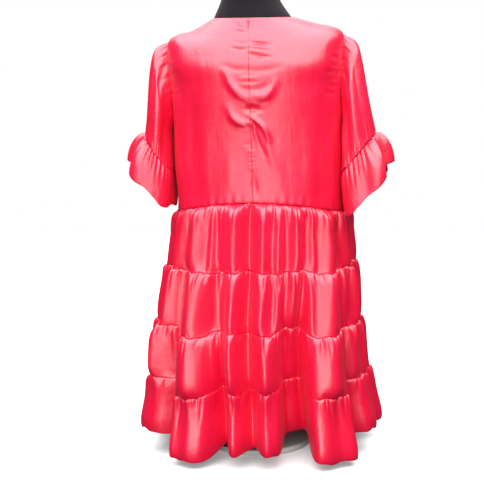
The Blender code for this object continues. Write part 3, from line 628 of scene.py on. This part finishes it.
def armhole_puckers():
    """Short tugs from the armhole seams towards the middle."""
    made = []
    for number, height in enumerate(ARMHOLE_PUCKER_HEIGHTS):
        width = ARMHOLE_PUCKER_WIDTHS[number * 7 % 3]
        for hand, out in ARMHOLE_PUCKER_OUT.items():
            start, end = hand * ARMHOLE_PUCKER_FROM, hand * (ARMHOLE_PUCKER_FROM - width)
            top = height + ARMHOLE_PUCKER_RISE
            made.append(Crease(start, height, end, top, 0.0, out, ARMHOLE_PUCKER_HALF_WIDTH))
    return made


def bodice_grid(centre, side, back, columns):
    level = bodice_levels()[:, None]
    share = np.linspace(centre, side, columns)[None, :]
    if back:
        share = np.sign(share) * np.abs(share) ** CLUSTER
    angle = armhole_edge(level, back) * share
    turn = angle if back else math.pi + angle
    level = np.broadcast_to(level, turn.shape)
    points, normals = body_points(level, turn), body_normals(level, turn)
    across = rings_at(level).middle_x - points[..., 0]
    z = points[..., 2]
    if back:
        relief = crease_relief(BACK_CREASES + zip_puckers(), across, z)
        relief += -GROOVE_DEPTH * fade(across, GROOVE_HALF_WIDTH)
        relief += crease_relief(armhole_puckers(), across, z)
    else:
        relief = crease_relief(FRONT_CREASES, across, z)
    relief += seam_pull(level, turn)
    return points + relief[..., None] * normals


def seam_pull(level, turn):
    """The lower edge of the bodice is drawn in by the gathers below it."""
    up = WAIST_SEAM - level
    at_edge = fade(up, 0.015)
    ripple = WAIST_RIPPLE_OUT * fade(up, 0.16) * ripples(WAIST_RIPPLES, turn)
    return ripple * (1 - at_edge) - WAIST_PINCH * at_edge


# Sleeves

def armhole_points(side, count):
    turn = 2 * np.pi * np.arange(count) / count
    level = CHEST - np.cos(turn)
    back = np.sin(turn) >= 0
    edge = np.where(back, armhole_edge(level, True), np.pi - armhole_edge(level, False))
    points = body_points(level, -side * edge) * (side, 1, 1)
    toward = points.mean(axis=0) - points
    toward[:, 0] = 0
    return points + ARMHOLE_SEAM_GAP * unit(toward)


def clear_of_body(points, side):
    """Points, moved outwards where they lie too near the side of the body."""
    points = points.copy()
    heights = [ring.side_z for ring in RINGS]
    level = np.interp(-points[..., 2], [-z for z in heights], range(len(heights)))
    ring = rings_at(level)
    reach = np.where(points[..., 1] > ring.middle_y, ring.back_y, ring.front_y) - ring.middle_y
    share = np.clip(np.abs((points[..., 1] - ring.middle_y) / reach), 0, 1)
    half_width = ring.half_width * (1 - share**ring.square) ** (1 / ring.square)
    seam_z = RINGS[WAIST_SEAM].side_z
    heights = (seam_z + CLEAR_FROM, seam_z + CLEAR_TO)
    gap = np.interp(points[..., 2], heights, (TIER_CLEARANCE, HANG_GAP))
    limit = side * ring.middle_x + half_width + gap
    over = (points[..., 0] - limit) / CLEAR_SOFTNESS
    eased = np.where(over > 8, over, np.log1p(np.exp(np.minimum(over, 8))))
    points[..., 0] = limit + CLEAR_SOFTNESS * eased
    return points


def sleeve_points(ring, turn, side):
    across, through = (1 + np.cos(turn)) / 2, np.sin(turn)
    points = np.stack(
        (
            ring.inner_x + (ring.outer_x - ring.inner_x) * across,
            ring.middle_y + ring.half_depth * through,
            ring.inner_z + (ring.outer_z - ring.inner_z) * across - ring.sag * through**2,
        ),
        axis=-1,
    )
    return clear_of_body(points, side)


def ring_normals(ring, turn):
    slope = np.array((ring.outer_x - ring.inner_x, 0, ring.outer_z - ring.inner_z))
    width = np.linalg.norm(slope) / 2
    cosine, sine = np.cos(turn)[..., None], np.sin(turn)[..., None]
    return unit(slope / (2 * width) * cosine / width + np.array((0, 1, 0)) * sine / ring.half_depth)


def ring_axis(ring):
    slope = np.array((ring.outer_x - ring.inner_x, 0, ring.outer_z - ring.inner_z))
    return unit(np.cross((0, 1, 0), slope))


def grid_normals(rows):
    around = np.roll(rows, -1, axis=1) - np.roll(rows, 1, axis=1)
    return unit(np.cross(np.gradient(rows, axis=0), around))


def sleeve_relief(folds, turn, share):
    """Soft folds that run down a sleeve and drift round it."""
    total = np.zeros(np.broadcast(turn, share).shape)
    for fold in folds:
        t = np.clip((share - fold.start) / (fold.end - fold.start), 0, 1)
        centre = np.radians(fold.turn + (fold.end_turn - fold.turn) * t)
        away = turn_between(turn, centre) / math.radians(fold.half_turn)
        total = total + fold.out * np.sin(np.pi * np.clip(t, 0.02, 0.86)) ** 0.7 * fade(away, 1)
    return total


def sleeve_grid(side, rings, folds, columns, rows):
    turn = 2 * np.pi * np.arange(columns) / columns
    controls = [armhole_points(side, columns)] + [sleeve_points(ring, turn, side) for ring in rings]
    flat = np.array(controls).reshape(len(controls), -1)
    places = np.linspace(0, len(controls) - 1, rows)
    grid = smooth_rows(flat, places).reshape(rows, columns, 3)
    share = (places / (len(controls) - 1))[:, None]
    head = fade(share, 0.16) * (1 - fade(share, 0.02))
    end = fade(1 - share, 0.12) * (1 - fade(1 - share, 0.015))
    outer_half = (0.5 + 0.5 * np.cos(turn)) ** 0.6
    relief = ripples(SLEEVE_HEAD_RIPPLES, turn) * head * outer_half
    relief = relief + sleeve_relief(folds, turn, share) + ripples(SLEEVE_END_RIPPLES, turn) * end
    return grid + relief[..., None] * grid_normals(grid)


def cuff_grid(side, top, hem, columns, rows):
    """A ruffle between its seam and its hem: wide lobes on the outside, small gathers at the seam."""
    turn = 2 * np.pi * np.arange(columns) / columns
    s = np.linspace(0, 1, rows)[:, None]
    mixed = [SleeveRing(*(np.array(top) + (np.array(hem) - np.array(top)) * part)) for part in s[:, 0]]
    grid = np.array([sleeve_points(ring, turn, side) for ring in mixed])
    normals = np.array([ring_normals(ring, turn) for ring in mixed])
    down = np.array([ring_axis(ring) for ring in mixed])[:, None, :]
    wave = np.cos(CUFF_WAVES * turn + CUFF_WAVE_DRIFT * np.sin(2 * turn))
    wave = np.tanh(CUFF_FLATNESS * wave) / math.tanh(CUFF_FLATNESS)
    free = CUFF_LEAST_FREE + (1 - CUFF_LEAST_FREE) * ((1 + np.cos(turn)) / 2) ** 0.7
    uneven = 1 + CUFF_UNEVEN * np.sin(2 * turn + 1.0 + side)
    out = CUFF_WAVE_OUT * wave * free * uneven * (s**0.7 - CUFF_TURN_UNDER * s**5)
    small = ripples(CUFF_RIPPLES, turn) * fade(s, 0.35) * np.clip(s / 0.06, 0, 1)
    puff = CUFF_PUFF * np.sin(np.pi * s**0.8) * free
    pinch = -CUFF_PINCH * fade(s, 0.05)
    fall = CUFF_WAVE_DOWN * wave * free * s
    grid = grid + (out + small + puff + pinch)[..., None] * normals + fall[..., None] * down
    grid[0] += ring_axis(top) * SEAM_GAP
    return clear_of_body(grid, side)


# Materials

def new_material(name):
    material = bpy.data.materials.new(name)
    material.use_nodes = True
    tree = material.node_tree
    shader = tree.nodes["Principled BSDF"]
    return material, tree, shader


def node(tree, kind, **settings):
    made = tree.nodes.new(kind)
    for key, value in settings.items():
        setattr(made, key, value)
    return made


def set_inputs(shader, **values):
    """Plain values of a node's inputs, by their names with _ for a space."""
    for key, value in values.items():
        shader.inputs[key.replace("_", " ")].default_value = value


def noise(tree, place, scale, detail, roughness=0.5):
    made = node(tree, "ShaderNodeTexNoise")
    set_inputs(made, Scale=scale, Detail=detail, Roughness=roughness)
    tree.links.new(place, made.inputs["Vector"])
    return made.outputs["Fac"]


def bands(tree, place, scale, direction, distortion=0.0):
    made = node(tree, "ShaderNodeTexWave", wave_type="BANDS", bands_direction=direction)
    set_inputs(made, Scale=scale, Distortion=distortion)
    tree.links.new(place, made.inputs["Vector"])
    return made.outputs["Fac"]


def stretched(tree, place, scale):
    made = node(tree, "ShaderNodeMapping")
    set_inputs(made, Scale=scale)
    tree.links.new(place, made.inputs["Vector"])
    return made.outputs["Vector"]


def blend(tree, factor, first, last, start=0.0, end=1.0):
    """A colour between two, following a factor."""
    made = node(tree, "ShaderNodeValToRGB")
    low, high = made.color_ramp.elements
    low.position, high.position = start, end
    low.color, high.color = (*first, 1), (*last, 1)
    tree.links.new(factor, made.inputs["Fac"])
    return made.outputs["Color"]


def bump(tree, height, strength, distance, under=None):
    """A bumped normal, on top of the one under it."""
    made = node(tree, "ShaderNodeBump")
    set_inputs(made, Strength=strength, Distance=distance)
    tree.links.new(height, made.inputs["Height"])
    if under is not None:
        tree.links.new(under, made.inputs["Normal"])
    return made.outputs["Normal"]


def satin_material():
    """Coral satin: a fine weave, faint slubs and a soft broad sheen."""
    material, tree, shader = new_material("coral_satin")
    cloth = node(tree, "ShaderNodeUVMap", uv_map="cloth").outputs["UV"]
    place = node(tree, "ShaderNodeTexCoord").outputs["Object"]
    tone = noise(tree, place, 9, 3)
    colour = blend(tree, tone, (0.78, 0.0005, 0.036), (0.88, 0.001, 0.05), 0.35, 0.7)
    tree.links.new(colour, shader.inputs["Base Color"])
    surface = bump(tree, noise(tree, stretched(tree, cloth, (70, 7, 1)), 1, 3), 0.36, 0.0024)
    surface = bump(tree, noise(tree, stretched(tree, cloth, (900, 60, 1)), 1, 2), 0.1, 0.0004, surface)
    surface = bump(tree, noise(tree, place, 55, 4, 0.55), 0.3, 0.0025, surface)
    tree.links.new(surface, shader.inputs["Normal"])
    gloss = node(tree, "ShaderNodeMapRange")
    set_inputs(gloss, To_Min=0.33, To_Max=0.42)
    tree.links.new(tone, gloss.inputs["Value"])
    tree.links.new(gloss.outputs["Result"], shader.inputs["Roughness"])
    set_inputs(shader, IOR=1.55, Specular_IOR_Level=1.0, Anisotropic=0.35)
    set_inputs(shader, Sheen_Weight=0.03, Sheen_Roughness=0.45, Sheen_Tint=(1.0, 0.6, 0.7, 1))
    return material


def thread_material():
    """Coral thread with its twist."""
    material, tree, shader = new_material("coral_thread")
    twist = bands(tree, node(tree, "ShaderNodeTexCoord").outputs["Object"], 900, "DIAGONAL")
    colour = blend(tree, twist, (0.62, 0.02, 0.055), (0.85, 0.04, 0.1))
    tree.links.new(colour, shader.inputs["Base Color"])
    set_inputs(shader, Roughness=0.55)
    return material


def jersey_material():
    """Black jersey stretched over the form, with the ribs of its knit."""
    material, tree, shader = new_material("form_jersey")
    place = node(tree, "ShaderNodeTexCoord").outputs["Object"]
    ribs = bands(tree, place, 260, "Z", 1.2)
    tree.links.new(bump(tree, ribs, 0.35, 0.0005), shader.inputs["Normal"])
    colour = blend(tree, noise(tree, place, 120, 2), (0.004, 0.003, 0.005), (0.01, 0.007, 0.012))
    tree.links.new(colour, shader.inputs["Base Color"])
    set_inputs(shader, Roughness=0.9, Specular_IOR_Level=0.25, Sheen_Weight=0.06)
    return material


def coat_material(name, dark, light, roughness, metallic, orange_peel):
    """Paint or powder coat on metal, with a faint texture."""
    material, tree, shader = new_material(name)
    grain = noise(tree, node(tree, "ShaderNodeTexCoord").outputs["Object"], orange_peel, 3)
    tree.links.new(blend(tree, grain, dark, light), shader.inputs["Base Color"])
    tree.links.new(bump(tree, grain, 0.15, 0.0002), shader.inputs["Normal"])
    set_inputs(shader, Roughness=roughness, Metallic=metallic)
    return material


# Stitches

def stitch_tree(thread):
    """Stitches laid along the edges of the mesh that the tree is given."""
    tree = bpy.data.node_groups.new("stitch_row", "GeometryNodeTree")
    face = tree.interface
    face.new_socket("Geometry", in_out="INPUT", socket_type="NodeSocketGeometry")
    for label, value in (
        ("Spacing", STITCH_SPACING),
        ("Stitch Length", STITCH_LENGTH),
        ("Thread Radius", THREAD_RADIUS),
    ):
        socket = face.new_socket(label, in_out="INPUT", socket_type="NodeSocketFloat")
        socket.default_value = value
    face.new_socket("Geometry", in_out="OUTPUT", socket_type="NodeSocketGeometry")
    given, result = node(tree, "NodeGroupInput"), node(tree, "NodeGroupOutput")
    path = node(tree, "GeometryNodeMeshToCurve")
    spaced = node(tree, "GeometryNodeResampleCurve", mode="LENGTH")
    stitch = node(tree, "GeometryNodeMeshUVSphere")
    set_inputs(stitch, Segments=STITCH_SEGMENTS, Rings=STITCH_RINGS, Radius=1)
    half = node(tree, "ShaderNodeMath", operation="MULTIPLY")
    half.inputs[1].default_value = 0.5
    size = node(tree, "ShaderNodeCombineXYZ")
    shape = node(tree, "GeometryNodeTransform")
    tangent = node(tree, "GeometryNodeInputTangent")
    aim = node(tree, "FunctionNodeAlignEulerToVector", axis="Z")
    laid = node(tree, "GeometryNodeInstanceOnPoints")
    real = node(tree, "GeometryNodeRealizeInstances")
    smooth = node(tree, "GeometryNodeSetShadeSmooth")
    coloured = node(tree, "GeometryNodeSetMaterial")
    set_inputs(coloured, Material=thread)
    for source, output, target, place in (
        (given, "Geometry", path, "Mesh"),
        (path, "Curve", spaced, "Curve"),
        (given, "Spacing", spaced, "Length"),
        (spaced, "Curve", laid, "Points"),
        (given, "Stitch Length", half, 0),
        (given, "Thread Radius", size, "X"),
        (given, "Thread Radius", size, "Y"),
        (half, "Value", size, "Z"),
        (stitch, "Mesh", shape, "Geometry"),
        (size, "Vector", shape, "Scale"),
        (shape, "Geometry", laid, "Instance"),
        (tangent, "Tangent", aim, "Vector"),
        (aim, "Rotation", laid, "Rotation"),
        (laid, "Instances", real, "Geometry"),
        (real, "Geometry", smooth, "Geometry"),
        (smooth, "Geometry", coloured, "Geometry"),
        (coloured, "Geometry", result, "Geometry"),
    ):
        tree.links.new(source.outputs[output], target.inputs[place])
    return tree


def stitch_row(name, line, tree):
    """One mesh of stitches along a closed line of points."""
    mesh = bpy.data.meshes.new(name + "_line")
    edges = [(i, (i + 1) % len(line)) for i in range(len(line))]
    mesh.from_pydata([tuple(point) for point in line], edges, [])
    guide = add(name + "_line", mesh)
    maker = guide.modifiers.new("stitches", "NODES")
    maker.node_group = tree
    bpy.context.view_layer.update()
    done = bpy.data.meshes.new_from_object(guide.evaluated_get(bpy.context.evaluated_depsgraph_get()))
    done.name = name
    bpy.data.objects.remove(guide)
    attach(add(name, done), FORM)


def line_on(grid, from_end):
    """A line of a grid's row, a given distance up from its lower edge, just proud of the cloth."""
    rows = grid[::-1]
    far = np.cumsum(np.linalg.norm(np.diff(rows, axis=0), axis=2), axis=0)
    row = int(np.median(np.argmax(far > from_end, axis=0))) + 1
    return rows[row] + STITCH_PROUD * grid_normals(grid)[::-1][row]


# Pieces

def make_bodice(satin):
    for name, centre, side, back, columns, node_name, flat in (
        ("back_panel_left", -1, 0, True, BACK_COLUMNS, "bodice_back_left", BACK_CUT),
        ("back_panel_right", 0, 1, True, BACK_COLUMNS, "bodice_back_right", BACK_CUT),
        ("front_panel", -1, 1, False, FRONT_COLUMNS, "bodice_front", FRONT_CUT),
    ):
        panel = shell(name, bodice_grid(centre, side, back, columns), False, satin)
        settle(panel, node_name)


def make_sleeves(satin):
    grids = {}
    for name, side, rings, hem in (
        ("left", 1, SLEEVE_LEFT, CUFF_LEFT),
        ("right", -1, SLEEVE_RIGHT, CUFF_RIGHT),
    ):
        sleeve = sleeve_grid(side, rings, SLEEVE_FOLDS[name], SLEEVE_COLUMNS, SLEEVE_ROWS) * (side, 1, 1)
        ruffle = cuff_grid(side, rings[-1], hem, CUFF_COLUMNS, CUFF_ROWS) * (side, 1, 1)
        if side < 0:
            sleeve, ruffle = sleeve[:, ::-1], ruffle[:, ::-1]
        piece = shell(name + "_sleeve", sleeve, True, satin)
        settle(piece, f"sleeve_{name}")
        piece = shell(name + "_cuff_ruffle", ruffle, True, satin)
        settle(piece, f"cuff_ruffle_{name}")
        grids[name] = ruffle
    return grids


def make_tiers(satin):
    grids = {}
    share = np.unique(np.concatenate([np.linspace(a, b, rows + 1) for a, b, rows in TIER_ROWS]))
    for tier in range(len(FOLDS)):
        for half, start in (("back", -math.pi / 2), ("front", math.pi / 2)):
            gap = SEAM_GAP / 2 / RINGS[WAIST_SEAM + tier].half_width
            angle = np.linspace(start + gap, start + math.pi - gap, TIER_COLUMNS[half])
            grid = tier_grid(tier, angle, share)
            name = f"tier_{tier + 1}_{half}_cloth"
            piece = shell(name, grid, False, satin)
            settle(piece, f"tier_{tier + 1}_{half}")
            grids[tier, half] = grid
    return grids


def make_form(jersey):
    """The form's torso, finer than its solid, with its neck closed by a plain top."""
    angle = np.linspace(-np.pi, np.pi, FORM_COLUMNS + 1)[:-1]
    sine, cosine = np.sin(angle), np.cos(angle)
    rings = []
    for ring in NECK_RINGS:
        reach = np.where(cosine > 0, ring.back_y, ring.front_y)
        height = ring.height - ring.front_drop * np.maximum(-cosine, 0) ** 2
        rings.append(np.stack((ring.middle_x - ring.half_width * sine, reach * np.abs(cosine), height), -1))
    for level in TORSO_LEVELS:
        loose = rings_at(level).form_gap
        seated = np.maximum(0, 1 - np.abs(np.abs(angle) - math.pi / 2) / SEAT_SPAN)
        gap = np.maximum(loose + (SEAT_GAP - loose) * seated, LEAST_GAP)
        if level == NECKLINE:
            gap = np.full_like(angle, NECKLINE_GAP)
        if level > SHOULDER_TIP:
            gap = np.full_like(angle, max(loose, CLEAR_GAP))
        full = np.full_like(angle, level)
        inward = (UNDER_CLOTH + gap)[:, None] * body_normals(full, angle)
        rings.append(body_points(full, angle) - inward)
    last = rings[-1]
    end = last.mean(axis=0) + (last - last.mean(axis=0)) * TORSO_END_SHARE
    end[:, 2] = TORSO_END_Z
    rings.append(end)
    flat = np.array(rings).reshape(len(rings), -1)
    places = np.linspace(0, len(rings) - 1, FORM_ROWS_A_RING * len(rings))
    grid = smooth_rows(flat, places).reshape(len(places), len(angle), 3)
    top, foot = grid[0].mean(axis=0), grid[-1].mean(axis=0)
    lid = [top + (grid[0] - top) * share - (0, 0, LID_ROUNDING * share**8) for share in LID_SHARES]
    sole = [foot + (grid[-1] - foot) * share for share in SOLE_SHARES]
    piece = shell("form_cover", np.concatenate((lid, grid, sole)), True, jersey, thickness=0)
    bm = bmesh.new()
    bm.from_mesh(piece.data)
    bmesh.ops.holes_fill(bm, edges=[e for e in bm.edges if e.is_boundary])
    bmesh.ops.recalc_face_normals(bm, faces=bm.faces)
    bm.to_mesh(piece.data)
    bm.free()
    piece.data.shade_smooth()
    settle(piece, "form_torso")


def make_stitching(thread, sleeves, tiers):
    tree = stitch_tree(thread)
    hem = np.concatenate((tiers[3, "back"], tiers[3, "front"]), axis=1)
    stitch_row("hem_stitches", line_on(hem, HEM_STITCHES_UP), tree)
    for name, grid in sleeves.items():
        stitch_row(name + "_ruffle_stitches", line_on(grid, CUFF_STITCHES_UP), tree)


# Studio

# light panels: size and radiance of each, its middle and what it faces
Panel = namedtuple("Panel", "name width height radiance place aim")
PANELS = table(Panel, (
    ("ceiling_panel", 4.6, 4.8, 4.2, (-0.2, 0.85, 2.35), (-0.2, 0.85, 0.0)),
    ("camera_side_panel", 3.2, 2.2, 2.5, (0.1, 3.6, 1.35), (0.0, 0.0, 0.5)),
    ("low_strip", 0.8, 0.26, 4.6, (0.08, 1.2, 0.135), (0.0, 0.0, 0.25)),
    ("far_side_panel", 3.0, 1.6, 1.8, (0.6, -2.8, 2.2), (0.0, 0.0, 0.5)),
))


FLOOR_HALF = 2.8
FLOOR_FADE = (0.5, 2.4)  # distances from the middle over which the floor turns into the backdrop
FLOOR_GLOW = (0.22, 1.0)
ROOM_GLOW = 0.04
WHITE = (1, 1, 1, 1)


def make_floor():
    """A pale floor that fades to white. The satin neither mirrors it nor takes light from it."""
    material, tree, shader = new_material("studio_floor")
    set_inputs(shader, Base_Color=(0.88, 0.88, 0.88, 1), Roughness=0.9, Emission_Color=WHITE)
    place = node(tree, "ShaderNodeTexCoord")
    away = node(tree, "ShaderNodeVectorMath", operation="LENGTH")
    glow = node(tree, "ShaderNodeMapRange", interpolation_type="SMOOTHSTEP")
    set_inputs(glow, From_Min=FLOOR_FADE[0], From_Max=FLOOR_FADE[1])
    set_inputs(glow, To_Min=FLOOR_GLOW[0], To_Max=FLOOR_GLOW[1])
    tree.links.new(place.outputs["Object"], away.inputs[0])
    tree.links.new(away.outputs["Value"], glow.inputs["Value"])
    tree.links.new(glow.outputs["Result"], shader.inputs["Emission Strength"])
    mesh = bpy.data.meshes.new("studio_floor")
    half = FLOOR_HALF
    corners = [(-half, -half, 0), (half, -half, 0), (half, half, 0), (-half, half, 0)]
    mesh.from_pydata(corners, [], [(0, 1, 2, 3)])
    mesh.materials.append(material)
    floor = add("studio_floor", mesh)
    floor.visible_glossy = False
    floor.visible_diffuse = False


def make_room():
    """A faint even glow, and white behind everything for the camera."""
    world = bpy.data.worlds.new("studio")
    world.use_nodes = True
    tree = world.node_tree
    glow = tree.nodes["Background"]
    set_inputs(glow, Color=WHITE, Strength=ROOM_GLOW)
    backdrop = node(tree, "ShaderNodeBackground")
    set_inputs(backdrop, Color=WHITE)
    seen = node(tree, "ShaderNodeLightPath")
    mix = node(tree, "ShaderNodeMixShader")
    tree.links.new(seen.outputs["Is Camera Ray"], mix.inputs["Fac"])
    tree.links.new(glow.outputs["Background"], mix.inputs[1])
    tree.links.new(backdrop.outputs["Background"], mix.inputs[2])
    tree.links.new(mix.outputs["Shader"], tree.nodes["World Output"].inputs["Surface"])
    bpy.context.scene.world = world


def make_lamps():
    for panel in PANELS:
        light = bpy.data.lights.new(panel.name, "AREA")
        light.shape = "RECTANGLE"
        light.size, light.size_y = panel.width, panel.height
        light.energy = panel.radiance * math.pi * panel.width * panel.height
        lamp = add(panel.name, light)
        lamp.location = panel.place
        lamp.visible_camera = False
        away = Vector(panel.place) - Vector(panel.aim)
        lamp.rotation_euler = away.to_track_quat("Z", "Y").to_euler()


# Camera: where the photograph was taken from
CAMERA_DISTANCE, CAMERA_HEIGHT = 2.9, 0.92
CAMERA_YAW, CAMERA_PITCH, CAMERA_ROLL = (math.radians(a) for a in (7.5, 9.53, 0.9))
IMAGE_SIDE = 484
FOCAL_PIXELS = 1397
MIDDLE_PIXEL = 256.6
SENSOR_WIDTH = 36
FARTHEST = 60


def make_camera():
    camera = add("camera", bpy.data.cameras.new("camera"))
    camera.location = (
        -CAMERA_DISTANCE * math.sin(CAMERA_YAW),
        CAMERA_DISTANCE * math.cos(CAMERA_YAW),
        CAMERA_HEIGHT,
    )
    camera.rotation_mode = "QUATERNION"
    level = Euler((math.pi / 2 - CAMERA_PITCH, 0, math.pi + CAMERA_YAW)).to_quaternion()
    roll = Euler((0, 0, -CAMERA_ROLL)).to_quaternion()
    camera.rotation_quaternion = level @ roll
    camera.data.sensor_width = SENSOR_WIDTH
    camera.data.lens = SENSOR_WIDTH * FOCAL_PIXELS / IMAGE_SIDE
    camera.data.shift_x = (IMAGE_SIDE / 2 - MIDDLE_PIXEL) / IMAGE_SIDE
    camera.data.clip_end = FARTHEST
    bpy.context.scene.camera = camera
    bpy.context.scene.view_settings.view_transform = "Standard"


def give(node_name, material):
    """A CAD piece keeps its shape and takes a finish."""
    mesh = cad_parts[node_name].data
    mesh.materials.clear()
    mesh.materials.append(material)


def main():
    satin, thread = satin_material(), thread_material()
    white_coat = coat_material(
        "white_powder_coat", (0.74, 0.73, 0.71), (0.84, 0.83, 0.81),
        roughness=0.42, metallic=0.0, orange_peel=400,
    )
    zip_coat = coat_material(
        "zip_enamel", (0.7, 0.03, 0.08), (0.86, 0.05, 0.12),
        roughness=0.3, metallic=0.35, orange_peel=900,
    )
    make_bodice(satin)
    sleeves = make_sleeves(satin)
    tiers = make_tiers(satin)
    make_form(jersey_material())
    make_stitching(thread, sleeves, tiers)
    for node_name in ("form_post", "form_base"):
        give(node_name, white_coat)
    for node_name in ("zip_slider", "zip_pull"):
        give(node_name, zip_coat)
    make_floor()
    make_room()
    make_lamps()
    make_camera()


main()
